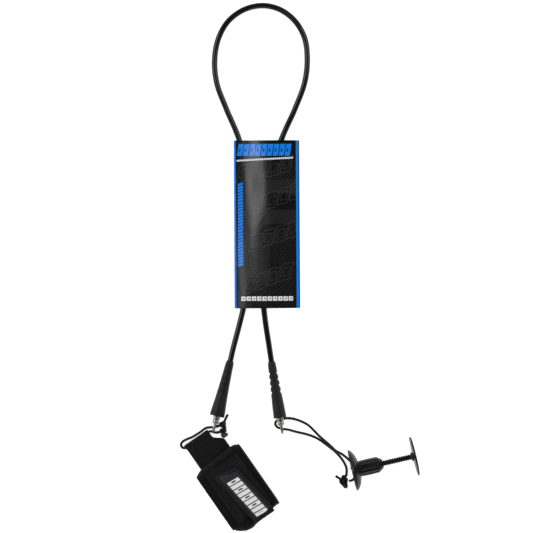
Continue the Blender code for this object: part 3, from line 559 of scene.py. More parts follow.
def tube_rings(points, radius, sides, relief=None):
    """Rings round a path, carried along it without twist. relief(turn share, distance) adds to the radius."""
    rings, distances = [], []
    travelled = 0.0
    side = None
    for i, point in enumerate(points):
        before, after = points[max(i - 1, 0)], points[min(i + 1, len(points) - 1)]
        heading = (after - before).normalized()
        if side is None:
            side = heading.orthogonal().normalized()
        side = (side - heading * side.dot(heading)).normalized()
        other = heading.cross(side)
        if i:
            travelled += (point - points[i - 1]).length
        r = radius(i) if callable(radius) else radius
        ring = []
        for k in range(sides):
            share = k / sides
            reach = r + (relief(share, travelled) if relief else 0.0)
            ring.append(
                point + side * (reach * math.cos(TURN * share)) + other * (reach * math.sin(TURN * share))
            )
        rings.append(ring)
        distances.append(travelled)
    return rings, distances


def braid_relief(strands, pitch, depth):
    """Relief of a round braid: each strand shows on top of every other crossing."""

    def relief(share, distance):
        a = strands * share + distance / pitch * strands
        b = strands * share - distance / pitch * strands
        over = (math.floor(a) + math.floor(b)) % 2 == 0
        across = a if over else b
        height = math.sin(math.pi * (across % 1.0)) ** 0.6
        return (height - 1.0) * depth

    return relief


def ellipsoid(centre, half, rows=20, columns=32, wobble=0.0):
    rings = []
    for i in range(1, rows):
        lean = math.pi * i / rows
        ring = []
        for k in range(columns):
            turn = TURN * k / columns
            direction = Vector(
                (math.sin(lean) * math.cos(turn), math.sin(lean) * math.sin(turn), -math.cos(lean))
            )
            grow = 1.0 + wobble * noise.noise(direction * 1.7 + Vector(centre) * 300)
            ring.append(Vector(centre) + Vector([d * h * grow for d, h in zip(direction, half)]))
        rings.append(ring)
    return Shell().grid(rings)


def slab_rings(outline_at, stations, low, high, edge, rows):
    """Rings of a flat strap along its stations: outline_at(station) gives its left and right edge."""
    rings = []
    for station in stations:
        left, right = outline_at(station)
        ring = []
        for k in range(rows + 1):
            ring.append((left + edge + (right - left - 2 * edge) * k / rows, low))
        for k in range(1, 4):
            turn = -QUARTER + math.pi * k / 4
            half = (high - low) / 2
            ring.append((right - edge + edge * math.cos(turn), low + half + half * math.sin(turn)))
        for k in range(rows + 1):
            ring.append((right - edge - (right - left - 2 * edge) * k / rows, high))
        for k in range(1, 4):
            turn = QUARTER + math.pi * k / 4
            half = (high - low) / 2
            ring.append((left + edge + edge * math.cos(turn), low + half + half * math.sin(turn)))
        rings.append(ring)
    return rings


def plain_weave(x, y, pitch_x, pitch_y):
    """Height, from -1 to 1, of a plain weave of yarns at a place."""
    a, b = math.pi * x / pitch_x, math.pi * y / pitch_y
    return math.sin(a) * math.sin(b) * 0.6 + 0.4 * abs(math.sin(a))


# ---------------------------------------------------------------- shader groups


class Tree:
    """Short calls that add nodes to one tree."""

    def __init__(self, tree):
        self.tree = tree

    def feed(self, socket, value):
        """Links a value's socket into a socket, or sets the socket to a plain value."""
        if isinstance(value, bpy.types.NodeSocket):
            self.tree.links.new(value, socket)
        else:
            socket.default_value = value

    def node(self, kind, inputs=None, **settings):
        made = self.tree.nodes.new(kind)
        for key, value in settings.items():
            setattr(made, key, value)
        for key, value in (inputs or {}).items():
            self.feed(made.inputs[key], value)
        return made

    def calc(self, operation, *values):
        made = self.tree.nodes.new("ShaderNodeMath")
        made.operation = operation
        for socket, value in zip(made.inputs, values):
            self.feed(socket, value)
        return made.outputs[0]

    def times(self, first, second):
        return self.calc("MULTIPLY", first, second)

    def plus(self, first, second):
        return self.calc("ADD", first, second)

    def minus(self, first, second):
        return self.calc("SUBTRACT", first, second)

    def divided(self, first, second):
        return self.calc("DIVIDE", first, second)

    def size(self, value):
        return self.calc("ABSOLUTE", value)

    def scaled(self, value, factor, start):
        return self.calc("MULTIPLY_ADD", value, factor, start)

    def total(self, first, *others):
        for other in others:
            first = self.calc("ADD", first, other)
        return first

    def ramp(self, value, low, high, at_low=0.0, at_high=1.0):
        made = self.node(
            "ShaderNodeMapRange",
            {"Value": value, "From Min": low, "From Max": high, "To Min": at_low, "To Max": at_high},
            interpolation_type="SMOOTHSTEP",
        )
        return made.outputs[0]

    def inside(self, value, low, high, soft=0.06):
        rise = self.ramp(value, low - soft, low + soft)
        fall = self.ramp(value, high - soft, high + soft, 1.0, 0.0)
        return self.calc("MULTIPLY", rise, fall)

    def blend(self, mask, first, second):
        made = self.node("ShaderNodeMix", data_type="RGBA")
        for index, value in ((0, mask), (6, first), (7, second)):
            self.feed(made.inputs[index], value)
        return made.outputs[2]

    def split(self, vector):
        parts = self.node("ShaderNodeSeparateXYZ", {"Vector": vector})
        return parts.outputs[0], parts.outputs[1], parts.outputs[2]

    def noise(self, vector, scale, detail=2.0, rough=0.5):
        made = self.node(
            "ShaderNodeTexNoise", {"Vector": vector, "Scale": scale, "Detail": detail, "Roughness": rough}
        )
        return made.outputs["Fac"]

    def group(self, name, inputs):
        made = self.node("ShaderNodeGroup", node_tree=SHADER_GROUPS[name](), label=name)
        for key, value in inputs.items():
            self.feed(made.inputs[key], value)
        return made.outputs


def floats(**defaults):
    """Number sockets, from their names and first values."""
    return [(label.replace("_", " "), "Float", value) for label, value in defaults.items()]


def group_tree(name, inputs, outputs):
    """A new shader group with its sockets. Returns (tree, its Tree, the sockets given to it)."""
    tree = bpy.data.node_groups.new(name, "ShaderNodeTree")
    for label, kind, default in inputs:
        socket = tree.interface.new_socket(name=label, in_out="INPUT", socket_type="NodeSocket" + kind)
        if default is not None:
            socket.default_value = default
    for label, kind in outputs:
        tree.interface.new_socket(name=label, in_out="OUTPUT", socket_type="NodeSocket" + kind)
    work = Tree(tree)
    return tree, work, work.node("NodeGroupInput").outputs


def close_group(work, **results):
    out = work.node("NodeGroupOutput")
    for label, socket in results.items():
        work.tree.links.new(socket, out.inputs[label])


def fine_grain():
    """Even grain of a moulded or coated face."""
    tree, work, given = group_tree(
        "Fine grain", [("Place", "Vector", None), ("Scale", "Float", 2.0)], [
            ("Height", "Float"), ("Mask", "Float")
        ]
    )
    height = work.noise(given["Place"], given["Scale"], 4.0, 0.6)
    close_group(work, Height=height, Mask=work.ramp(height, 0.42, 0.60))
    return tree


def handling_wear():
    """Rubbed patches and short scratches."""
    tree, work, given = group_tree(
        "Handling wear", [("Place", "Vector", None), ("Amount", "Float", 0.5)], [
            ("Rubbed", "Float"), ("Scratches", "Float")
        ]
    )
    patches = work.noise(given["Place"], 0.09, 5.0, 0.65)
    rubbed = work.times(work.ramp(patches, 0.50, 0.72), given["Amount"])
    stretched = work.node(
        "ShaderNodeMapping", {
            "Vector": given["Place"], "Rotation": (0.0, 0.0, 0.7), "Scale": (0.12, 3.2, 0.8)
        }
    ).outputs[0]
    lines = work.noise(stretched, 1.0, 2.0, 0.5)
    scratches = work.times(work.ramp(lines, 0.70, 0.78), given["Amount"])
    close_group(work, Rubbed=rubbed, Scratches=scratches)
    return tree


def lint():
    """Pale specks and short fibres caught on cloth and rubber."""
    tree, work, given = group_tree(
        "Lint", [("Place", "Vector", None), ("Amount", "Float", 0.3)], [("Mask", "Float")]
    )
    cells = work.node("ShaderNodeTexVoronoi", {"Vector": given["Place"], "Scale": 0.55, "Randomness": 1.0})
    speck = work.ramp(cells.outputs["Distance"], 0.05, 0.11, 1.0, 0.0)
    chance = work.ramp(work.noise(given["Place"], 0.21, 2.0), 0.52, 0.60)
    mask = work.times(work.times(speck, chance), given["Amount"])
    close_group(work, Mask=mask)
    return tree


def woven():
    """Plain weave: yarn height and the gaps between yarns, from a place in millimetres."""
    tree, work, given = group_tree(
        "Woven yarns",
        [("Place", "Vector", None), ("Yarn across", "Float", 0.8), ("Yarn along", "Float", 0.6)],
        [("Height", "Float"), ("Gap", "Float")],
    )
    x, y, _ = work.split(given["Place"])
    a = work.calc("SINE", work.times(work.divided(x, given["Yarn across"]), math.pi))
    b = work.calc("SINE", work.times(work.divided(y, given["Yarn along"]), math.pi))
    product = work.times(a, b)
    height = work.scaled(product, 0.35, work.scaled(work.size(a), 0.35, 0.3))
    gap = work.ramp(work.calc("MINIMUM", work.size(a), work.size(b)), 0.05, 0.4, 1.0, 0.0)
    close_group(work, Height=height, Gap=gap)
    return tree


def knitted():
    """Fine ribbed knit facing of foam."""
    tree, work, given = group_tree(
        "Knit face", [("Place", "Vector", None), ("Rib", "Float", 0.7)], [
            ("Height", "Float"), ("Gap", "Float")
        ]
    )
    x, y, z = work.split(given["Place"])
    rib = work.calc("SINE", work.times(work.divided(x, given["Rib"]), TURN))
    slope = work.plus(y, z)
    loop = work.calc("SINE", work.plus(work.times(work.divided(slope, given["Rib"]), TURN), rib))
    height = work.scaled(loop, 0.3, work.scaled(rib, 0.3, 0.5))
    close_group(work, Height=height, Gap=work.ramp(height, 0.1, 0.4, 1.0, 0.0))
    return tree


def round_braid():
    """Crossing strands round a string, from its surface coordinates: turn share, then millimetres along."""
    tree, work, given = group_tree(
        "Round braid",
        [("Surface", "Vector", None), ("Strands", "Float", 4.0), ("Pitch", "Float", 11.0)],
        [("Gap", "Float"), ("Yarn", "Float"), ("Tone", "Float")],
    )
    u, v, _ = work.split(given["Surface"])
    round_share = work.times(u, given["Strands"])
    rise = work.times(work.divided(v, given["Pitch"]), given["Strands"])
    a, b = work.plus(round_share, rise), work.minus(round_share, rise)
    cells = work.total(work.calc("FLOOR", a), work.calc("FLOOR", b))
    over = work.calc("COMPARE", work.calc("FLOORED_MODULO", cells, 2.0), 0.0, 0.5)
    fa, fb = work.calc("FRACT", work.plus(a, 64.0)), work.calc("FRACT", work.plus(b, 64.0))
    across = work.plus(work.times(fa, over), work.times(fb, work.minus(1.0, over)))
    crown = work.calc("SINE", work.times(across, math.pi))
    fibres = work.calc("SINE", work.times(across, 5 * TURN))
    yarn = work.scaled(fibres, 0.12, crown)
    # Tone marks the strands that lean one way; the string's colour paints them lighter as a painted sheen.
    close_group(work, Gap=work.ramp(crown, 0.12, 0.5, 1.0, 0.0), Yarn=yarn, Tone=over)
    return tree


def slanted_block():
    """A leaning block and its outline, in millimetres on a flat face."""
    tree, work, given = group_tree(
        "Leaning block",
        floats(X=0.0, Y=0.0, Centre_X=0.0, Centre_Y=0.0, Half_width=5.0, Half_height=5.0, Lean=0.2, Line=0.3),
        [("Solid", "Float"), ("Outline", "Float")],
    )
    dy = work.minus(given["Y"], given["Centre Y"])
    dx = work.minus(work.minus(given["X"], given["Centre X"]), work.times(dy, given["Lean"]))
    qx = work.minus(work.size(dx), given["Half width"])
    qy = work.minus(work.size(dy), given["Half height"])
    distance = work.calc("SMOOTH_MAX", qx, qy, 0.8)
    solid = work.ramp(distance, -0.06, 0.06, 1.0, 0.0)
    line = work.minus(work.size(distance), given["Line"])
    close_group(work, Solid=solid, Outline=work.ramp(line, -0.05, 0.05, 1.0, 0.0))
    return tree


def block_row():
    """A row of leaning blocks of one pitch inside a window, in millimetres."""
    tree, work, given = group_tree(
        "Block row",
        floats(X=0.0, Y=0.0, Left=-20.0, Right=20.0, Low=0.0, High=8.0, Pitch=6.0, Fill=0.8, Lean=0.25),
        [("Mask", "Float")],
    )
    leaning = work.minus(given["X"], work.times(work.minus(given["Y"], given["Low"]), given["Lean"]))
    share = work.calc("FRACT", work.divided(work.minus(leaning, given["Left"]), given["Pitch"]))
    block = work.ramp(work.minus(share, given["Fill"]), -0.02, 0.02, 1.0, 0.0)
    block = work.times(block, work.ramp(share, 0.0, 0.03))
    within_x = work.times(
        work.ramp(work.minus(leaning, given["Left"]), -0.05, 0.05),
        work.ramp(work.minus(leaning, given["Right"]), -0.05, 0.05, 1.0, 0.0),
    )
    within_y = work.times(
        work.ramp(work.minus(given["Y"], given["Low"]), -0.05, 0.05),
        work.ramp(work.minus(given["Y"], given["High"]), -0.05, 0.05, 1.0, 0.0),
    )
    close_group(work, Mask=work.times(block, work.times(within_x, within_y)))
    return tree


GROUP_MAKERS = {
    "Fine grain": fine_grain,
    "Handling wear": handling_wear,
    "Lint": lint,
    "Woven yarns": woven,
    "Knit face": knitted,
    "Round braid": round_braid,
    "Leaning block": slanted_block,
    "Block row": block_row,
}
SHADER_GROUPS = {
    name: (lambda name=name: bpy.data.node_groups.get(name) or GROUP_MAKERS[name]()) for name in GROUP_MAKERS
}


# ---------------------------------------------------------------- materials


def blocks(work, x, y, left, right, low, high, pitch, fill, lean):
    """Mask of a row of leaning blocks."""
    inputs = {"X": x, "Y": y, "Left": left, "Right": right, "Low": low, "High": high}
    return work.group("Block row", {**inputs, "Pitch": pitch, "Fill": fill, "Lean": lean})["Mask"]


def rgba(colour, factor=1.0):
    return (*[min(1.0, c * factor) for c in colour], 1.0)


class Finish:
    """One material: its tree, its Principled shader and the place that its patterns read."""

    def __init__(self, name, roughness=0.5, **fixed):
        self.material = bpy.data.materials.new(name)
        self.material.use_nodes = True
        self.work = Tree(self.material.node_tree)
        self.shader = self.material.node_tree.nodes["Principled BSDF"]
        self.shader.inputs["Roughness"].default_value = roughness
        for key, value in fixed.items():
            self.shader.inputs[key.replace("_", " ")].default_value = value
        self.place = self.work.node("ShaderNodeAttribute", attribute_name="place").outputs["Vector"]

    def surface(self):
        return self.work.node("ShaderNodeUVMap", uv_map="surface").outputs["UV"]

    def link(self, socket, name):
        self.work.tree.links.new(socket, self.shader.inputs[name])

    def colour(self, socket):
        self.link(socket, "Base Color")

    def rough(self, value, change, start):
        """Roughness that starts at a value and changes with a pattern."""
        self.link(self.work.scaled(value, change, start), "Roughness")

    def wear(self, amount):
        return self.work.group("Handling wear", {"Place": self.place, "Amount": amount})

    def dust(self, amount):
        return self.work.group("Lint", {"Place": self.place, "Amount": amount})

    def grain(self, scale):
        return self.work.group("Fine grain", {"Place": self.place, "Scale": scale})

    def weave(self, across, along):
        return self.work.group(
            "Woven yarns", {"Place": self.place, "Yarn across": across, "Yarn along": along}
        )

    def bump(self, height, strength, distance):
        made = self.work.node(
            "ShaderNodeBump", {"Height": height, "Strength": strength, "Distance": distance}
        )
        self.link(made.outputs["Normal"], "Normal")


def made_once(maker):
    """Makes a material the first time that it is asked for."""
    made = {}

    def give():
        if "material" not in made:
            made["material"] = maker()
        return made["material"]

    return give


@made_once
def cord_finish():
    finish = Finish("Glossy cord", 0.14, Specular_IOR_Level=0.30, Coat_Weight=0.15, Coat_Roughness=0.05)
    work = finish.work
    spot = work.node("ShaderNodeTexCoord").outputs["Object"]
    millimetres = work.node(
        "ShaderNodeMapping", {"Vector": spot, "Scale": (1000.0, 1000.0, 1000.0)}
    ).outputs[0]
    wear = work.group("Handling wear", {"Place": millimetres, "Amount": 0.6})
    dust = work.group("Lint", {"Place": millimetres, "Amount": 0.25})
    base = work.blend(wear["Rubbed"], rgba(colours().cord), rgba(colours().cord, 2.2))
    finish.colour(work.blend(dust["Mask"], base, (0.10, 0.10, 0.11, 1.0)))
    finish.rough(wear["Scratches"], 0.20, work.scaled(wear["Rubbed"], 0.14, 0.12))
    finish.bump(work.noise(millimetres, 0.5, 3.0), 0.05, 0.0002)
    return finish.material


@made_once
def horn_finish():
    finish = Finish("Moulded rubber", 0.5, Specular_IOR_Level=0.22)
    work = finish.work
    grain = finish.grain(2.6)
    wear = finish.wear(0.7)
    dust = finish.dust(0.4)
    base = work.blend(wear["Rubbed"], rgba(colours().horn), rgba(colours().horn, 1.7))
    base = work.blend(dust["Mask"], base, (0.06, 0.06, 0.065, 1.0))
    finish.colour(base)
    finish.rough(grain["Mask"], 0.12, 0.42)
    finish.bump(grain["Height"], 0.25, 0.0002)
    return finish.material


@made_once
def steel_finish():
    finish = Finish("Polished stainless", 0.2, Metallic=1.0)
    work = finish.work
    wear = finish.wear(0.8)
    grain = finish.grain(1.4)
    tone = work.blend(grain["Mask"], (0.30, 0.275, 0.265, 1.0), (0.42, 0.385, 0.37, 1.0))
    finish.colour(work.blend(wear["Scratches"], tone, (0.22, 0.20, 0.19, 1.0)))
    finish.rough(wear["Rubbed"], 0.22, 0.16)
    finish.bump(grain["Height"], 0.06, 0.0002)
    return finish.material


@made_once
def brass_finish():
    finish = Finish("Crimped brass", 0.35, Metallic=1.0)
    work = finish.work
    wear = finish.wear(0.8)
    finish.colour(work.blend(wear["Rubbed"], (0.60, 0.45, 0.20, 1.0), (0.40, 0.28, 0.12, 1.0)))
    finish.rough(wear["Scratches"], 0.3, 0.3)
    return finish.material


@made_once
def tie_finish():
    finish = Finish("Tie plastic", 0.45)
    work = finish.work
    grain = finish.grain(1.2)
    finish.colour(work.blend(grain["Mask"], (0.016, 0.016, 0.017, 1.0), (0.030, 0.030, 0.031, 1.0)))
    finish.rough(grain["Mask"], 0.15, 0.38)
    return finish.material


@made_once
def string_finish():
    finish = Finish("Braided string", 0.6, Specular_IOR_Level=0.2, Sheen_Weight=0.08, Sheen_Roughness=0.4)
    work = finish.work
    braid = work.group(
        "Round braid", {"Surface": finish.surface(), "Strands": 4.0, "Pitch": sizes().braid_pitch / MM}
    )
    dust = finish.dust(0.35)
    # Painted sheen: strands that lean one way get a lighter copy of the string's colour.
    base = work.blend(braid["Tone"], rgba(colours().string), rgba(colours().string, 1.8))
    # Painted shade: the hollows between strands are painted almost black.
    base = work.blend(braid["Gap"], base, (0.002, 0.002, 0.002, 1.0))
    finish.colour(work.blend(dust["Mask"], base, (0.12, 0.12, 0.13, 1.0)))
    finish.rough(braid["Gap"], 0.3, 0.5)
    finish.bump(braid["Yarn"], 0.35, 0.0001)
    return finish.material


@made_once
def melted_finish():
    finish = Finish("Melted string end", 0.22)
    work = finish.work
    grain = finish.grain(0.6)
    finish.colour(work.blend(grain["Mask"], (0.012, 0.012, 0.013, 1.0), (0.050, 0.050, 0.052, 1.0)))
    finish.rough(grain["Mask"], 0.25, 0.16)
    finish.bump(grain["Height"], 0.5, 0.0004)
    return finish.material


@made_once
def webbing_finish():
    finish = Finish("Tab webbing", 0.8, Specular_IOR_Level=0.1, Sheen_Weight=0.06, Sheen_Roughness=0.5)
    work = finish.work
    weave = finish.weave(0.8, 0.62)
    dust = finish.dust(0.5)
    wear = finish.wear(0.6)
    # Painted shade: the gaps between yarns get a darker copy of the webbing's colour.
    base = work.blend(weave["Gap"], rgba(colours().webbing), rgba(colours().webbing, 0.25))
    base = work.blend(wear["Rubbed"], base, rgba(colours().webbing, 1.5))
    finish.colour(work.blend(dust["Mask"], base, (0.07, 0.07, 0.075, 1.0)))
    finish.rough(weave["Gap"], 0.1, 0.72)
    finish.bump(weave["Height"], 0.55, 0.00018)
    return finish.material


@made_once
def pad_finish():
    finish = Finish("Knit-faced foam", 0.7, Specular_IOR_Level=0.12, Sheen_Weight=0.06, Sheen_Roughness=0.45)
    work = finish.work
    knit = work.group("Knit face", {"Place": finish.place, "Rib": 0.62})
    dust = finish.dust(0.6)
    patches = work.noise(finish.place, 0.06, 3.0)
    base = work.blend(work.ramp(patches, 0.4, 0.65), rgba(colours().pad, 0.8), rgba(colours().pad, 1.4))
    # Painted shade: the hollows of the knit get a darker copy of the pad's colour.
    base = work.blend(knit["Gap"], base, rgba(colours().pad, 0.3))
    finish.colour(work.blend(dust["Mask"], base, (0.05, 0.05, 0.058, 1.0)))
    finish.rough(knit["Gap"], 0.15, 0.62)
    finish.bump(knit["Height"], 0.35, 0.00012)
    return finish.material


@made_once
def trim_finish():
    finish = Finish("Binding tape", 0.75, Specular_IOR_Level=0.12, Sheen_Weight=0.06, Sheen_Roughness=0.5)
    work = finish.work
    weave = finish.weave(0.45, 0.45)
    # Painted shade: the gaps between yarns get a darker copy of the tape's colour.
    base = work.blend(weave["Gap"], rgba(colours().trim, 1.2), rgba(colours().trim, 0.35))
    finish.colour(base)
    finish.rough(weave["Height"], 0.15, 0.62)
    finish.bump(weave["Height"], 0.4, 0.00012)
    return finish.material


@made_once
def thread_finish():
    finish = Finish("Sewing thread", 0.55, Specular_IOR_Level=0.2, Sheen_Weight=0.05)
    work = finish.work
    spot = work.node("ShaderNodeTexCoord").outputs["Object"]
    twist = work.node(
        "ShaderNodeTexWave", {"Vector": spot, "Scale": 900.0, "Distortion": 0.5}, bands_direction="DIAGONAL"
    )
    finish.colour(work.blend(twist.outputs["Fac"], (0.008, 0.008, 0.009, 1.0), (0.024, 0.024, 0.026, 1.0)))
    finish.rough(twist.outputs["Fac"], 0.2, 0.45)
    return finish.material


@made_once
def pile_finish():
    finish = Finish("Hook and loop pile", 0.9, Specular_IOR_Level=0.1, Sheen_Weight=0.05)
    work = finish.work
    spot = work.node("ShaderNodeTexCoord").outputs["Object"]
    grain = work.noise(spot, 1900.0, 2.0)
    finish.colour(
        work.blend(work.ramp(grain, 0.4, 0.6), (0.006, 0.006, 0.007, 1.0), (0.022, 0.022, 0.024, 1.0))
    )
    finish.rough(grain, 0.2, 0.7)
    return finish.material


@made_once
def flap_finish():
    finish = Finish("Laminated nylon", 0.55, Specular_IOR_Level=0.15, Sheen_Weight=0.10, Sheen_Roughness=0.35)
    work = finish.work
    weave = finish.weave(0.5, 0.5)
    dust = finish.dust(0.5)
    wear = finish.wear(0.8)
    # Painted shade: the gaps between yarns get a darker copy of the flap's colour.
    base = work.blend(weave["Gap"], rgba(colours().flap), rgba(colours().flap, 0.35))
    base = work.blend(wear["Rubbed"], base, rgba(colours().flap, 1.8))
    finish.colour(work.blend(dust["Mask"], base, (0.06, 0.06, 0.066, 1.0)))
    finish.rough(weave["Height"], 0.18, 0.46)
    finish.bump(weave["Height"], 0.4, 0.00012)
    return finish.material


@made_once
def label_finish():
    """Dark panel with plain white leaning bars, some with a small window cut out."""
    finish = Finish("Printed panel", 0.42)
    work = finish.work
    x, y, _ = work.split(finish.place)
    lengthwise = work.minus(60.0, y)
    bars = blocks(work, lengthwise, x, 6.5, 55.5, -6.9, 6.9, 5.6, 0.80, 0.22)
    windows = blocks(work, lengthwise, x, 8.6, 54.0, -2.6, 2.4, 11.2, 0.17, 0.22)
    ink = work.times(bars, work.minus(1.0, windows))
    weave = finish.weave(0.5, 0.5)
    wear = finish.wear(0.5)
    # Painted shade: the dark ground is darker still in the gaps between yarns.
    dark = work.blend(weave["Gap"], (0.022, 0.021, 0.024, 1.0), (0.009, 0.009, 0.010, 1.0))
    white = work.blend(wear["Scratches"], rgba(colours().print_white), (0.45, 0.45, 0.46, 1.0))
    finish.colour(work.blend(ink, dark, white))
    finish.rough(ink, -0.08, 0.48)
    finish.bump(work.total(work.times(weave["Height"], 0.5), ink), 0.35, 0.0001)
    return finish.material


@made_once
def plug_finish():
    finish = Finish("Satin moulded plastic", 0.36, Specular_IOR_Level=0.22)
    work = finish.work
    grain = finish.grain(1.8)
    wear = finish.wear(0.7)
    base = work.blend(wear["Rubbed"], rgba(colours().plug), rgba(colours().plug, 1.8))
    finish.colour(work.blend(wear["Scratches"], base, rgba(colours().plug, 3.0)))
    finish.rough(grain["Mask"], 0.12, work.scaled(wear["Rubbed"], 0.12, 0.28))
    finish.bump(grain["Height"], 0.14, 0.0002)
    return finish.material


@made_once
def board_core_finish():
    finish = Finish("Card core", 0.85)
    work = finish.work
    fibres = work.noise(finish.place, 4.0, 4.0)
    finish.colour(work.blend(fibres, (0.50, 0.49, 0.47, 1.0), (0.78, 0.77, 0.75, 1.0)))
    finish.rough(fibres, 0.2, 0.7)
    return finish.material


@made_once
def card_finish():
    """Gloss black card with blue stripes and blocks, white bars and faint line work, all plain shapes."""
    finish = Finish("Printed card", 0.16, Specular_IOR_Level=0.4, Coat_Weight=0.4, Coat_Roughness=0.10)
    work = finish.work
    x, y, z = work.split(finish.place)
    front = work.ramp(z, 3.0, 5.0)

    def row(left, right, low, high, pitch, fill, lean, rise=0.0):
        lifted = work.minus(y, work.times(x, rise)) if rise else y
        return blocks(work, x, lifted, left, right, low, high, pitch, fill, lean)

    def column(left, right, low, high, pitch, fill, lean):
        return blocks(work, work.minus(0.0, y), x, -high, -low, left, right, pitch, fill, lean)

    def window(left, right, low, high, soft=0.3):
        return work.times(work.inside(x, left, right, soft), work.inside(y, low, high, soft))

    def either(*masks):
        found = masks[0]
        for mask in masks[1:]:
            found = work.calc("MAXIMUM", found, mask)
        return found

    # Faint line work
    diagonal = work.minus(work.times(y, 0.79), work.times(x, 0.61))
    stripes = work.inside(work.calc("FRACT", work.divided(diagonal, 3.1)), 0.18, 0.52, 0.05)
    striped = either(
        window(-20.0, 32.0, -90.0, -46.0, 4.0),
        window(6.0, 32.0, -46.0, -4.0, 4.0),
        window(-30.0, 4.0, -2.0, 22.0, 6.0),
        window(12.0, 32.0, 48.0, 68.0, 4.0),
    )
    stripes = work.times(stripes, striped)
    dark_panels = either(window(-3.0, 32.0, 33.5, 49.5), window(-2.0, 32.0, 0.5, 15.8))
    cell_x, cell_y = work.calc("PINGPONG", x, 0.95), work.calc("PINGPONG", y, 0.95)
    dot = work.plus(work.times(cell_x, cell_x), work.times(cell_y, cell_y))
    dot_size = work.ramp(y, 49.0, 67.0, 0.34, 0.02)
    dots = work.times(work.calc("LESS_THAN", dot, dot_size), window(-14.0, 16.0, 50.0, 67.0, 0.3))
    ring = work.calc("MAXIMUM", work.size(work.plus(x, 14.0)), work.size(work.plus(y, 40.0)))
    rings = work.inside(work.calc("FRACT", work.divided(ring, 2.2)), 0.30, 0.48, 0.05)
    rings = work.times(rings, work.ramp(ring, 17.0, 17.3, 1.0, 0.0))
    outlines = []
    for centre_x, centre_y, half_width in (
        (-27.0, 56.0, 4.6),
        (8.0, 62.0, 6.0),
        (22.0, 66.0, 5.4),
        (-8.0, 22.0, 5.6),
        (5.2, 26.5, 5.6),
        (19.0, 31.5, 5.8),
        (31.0, 36.0, 4.0),
        (-13.0, -20.0, 5.2),
        (1.0, -15.0, 6.0),
        (15.4, -10.0, 6.0),
        (28.6, -5.6, 5.0),
        (-19.0, -66.0, 5.4),
        (-6.0, -62.0, 5.2),
        (7.0, -57.0, 5.6),
        (21.4, -52.0, 6.0),
    ):
        inputs = {"X": x, "Y": work.minus(y, work.times(x, 0.24))}
        place = {"Centre X": centre_x, "Centre Y": centre_y - 0.24 * centre_x}
        shape = work.group(
            "Leaning block",
            {**inputs, **place, "Half width": half_width, "Half height": 8.6, "Lean": 0.26, "Line": 0.16},
        )
        inner = work.group(
            "Leaning block",
            {
                **inputs,
                **place,
                "Half width": half_width - 2.7,
                "Half height": 4.4,
                "Lean": 0.26,
                "Line": 0.13,
            },
        )
        outlines.append(either(shape["Outline"], inner["Outline"]))
    outlines = either(*outlines)
    ink = work.blend(dark_panels, rgba(colours().card_ink), (0.016, 0.016, 0.017, 1.0))
    ink = work.blend(work.times(either(stripes, rings), 0.7), ink, (0.026, 0.026, 0.027, 1.0))
    ink = work.blend(work.times(dots, 0.8), ink, (0.030, 0.030, 0.032, 1.0))
    ink = work.blend(outlines, ink, (0.085, 0.083, 0.083, 1.0))

    # Blue and white print
    stripe_left = work.inside(x, -36.2, -33.9, 0.05)
    stripe_right = work.inside(x, 32.3, 34.8, 0.05)
    title = row(-32.6, 26.4, 75.2, 88.2, 6.56, 0.86, 0.16)
    notches = row(-30.4, 26.4, 79.6, 83.2, 6.56, 0.24, 0.16)
    title = work.times(title, work.minus(1.0, notches))
    side_print = column(-31.8, -26.2, -46.5, 44.5, 3.4, 0.76, -0.30)
    underline = row(-33.0, 29.2, 70.6, 72.5, 2.3, 0.84, 0.3, 0.05)
    footer = row(-28.6, 29.2, -84.0, -79.2, 5.78, 0.84, 0.0)
    footer_gaps = row(-26.4, 29.2, -82.5, -80.7, 5.78, 0.22, 0.0)
    footer = work.times(footer, work.minus(1.0, footer_gaps))
    blue = work.times(either(stripe_left, stripe_right, title, side_print), front)
    white = work.times(either(underline, footer), front)
    front_ink = work.blend(front, rgba(colours().card_ink), ink)
    colour = work.blend(blue, front_ink, rgba(colours().card_blue))
    colour = work.blend(white, colour, rgba(colours().print_white))
    wear = finish.wear(0.6)
    # Painted highlight: grey patches along the two folded edges stand in for glare on the glossy folds.
    fold = work.ramp(work.size(x), 35.75, 36.05)
    fold_glare = work.times(fold, work.ramp(work.noise(finish.place, 0.8, 4.0), 0.58, 0.66))
    finish.colour(work.blend(fold_glare, colour, (0.45, 0.45, 0.45, 1.0)))
    finish.rough(wear["Scratches"], 0.12, work.scaled(wear["Rubbed"], 0.06, 0.15))
    finish.bump(work.noise(finish.place, 0.35, 3.0), 0.10, 0.0006)
    return finish.material


# ---------------------------------------------------------------- repeated small pieces


def geometry_tree(name, inputs):
    """A Geometry Nodes tree with a geometry input and output and named sizes. Returns (tree, Tree, given)."""
    tree = bpy.data.node_groups.new(name, "GeometryNodeTree")
    tree.interface.new_socket(name="Geometry", in_out="OUTPUT", socket_type="NodeSocketGeometry")
    tree.interface.new_socket(name="Geometry", in_out="INPUT", socket_type="NodeSocketGeometry")
    for label, kind, default in inputs:
        socket = tree.interface.new_socket(name=label, in_out="INPUT", socket_type="NodeSocket" + kind)
        if default is not None:
            socket.default_value = default
    work = Tree(tree)
    return tree, work, work.node("NodeGroupInput").outputs


def laid_on(work, points, piece, material, **turned):
    """Copies of a small piece on points, as real faces of one material, given to the tree's output."""
    laid = work.node(
        "GeometryNodeInstanceOnPoints", {"Points": points, "Instance": piece, **turned}
    ).outputs[0]
    real = work.node("GeometryNodeRealizeInstances", {"Geometry": laid}).outputs[0]
    done = work.node("GeometryNodeSetMaterial", {"Geometry": real, "Material": material}).outputs[0]
    work.tree.links.new(done, work.node("NodeGroupOutput").inputs[0])


def bead(work, segments, rings, x, y, z):
    """A round bead with its own half sizes."""
    ball = {"Segments": segments, "Rings": rings, "Radius": 1.0}
    made = work.node("GeometryNodeMeshUVSphere", ball).outputs["Mesh"]
    scale = work.node("ShaderNodeCombineXYZ", {"X": x, "Y": y, "Z": z}).outputs[0]
    return work.node("GeometryNodeTransform", {"Geometry": made, "Scale": scale}).outputs[0]


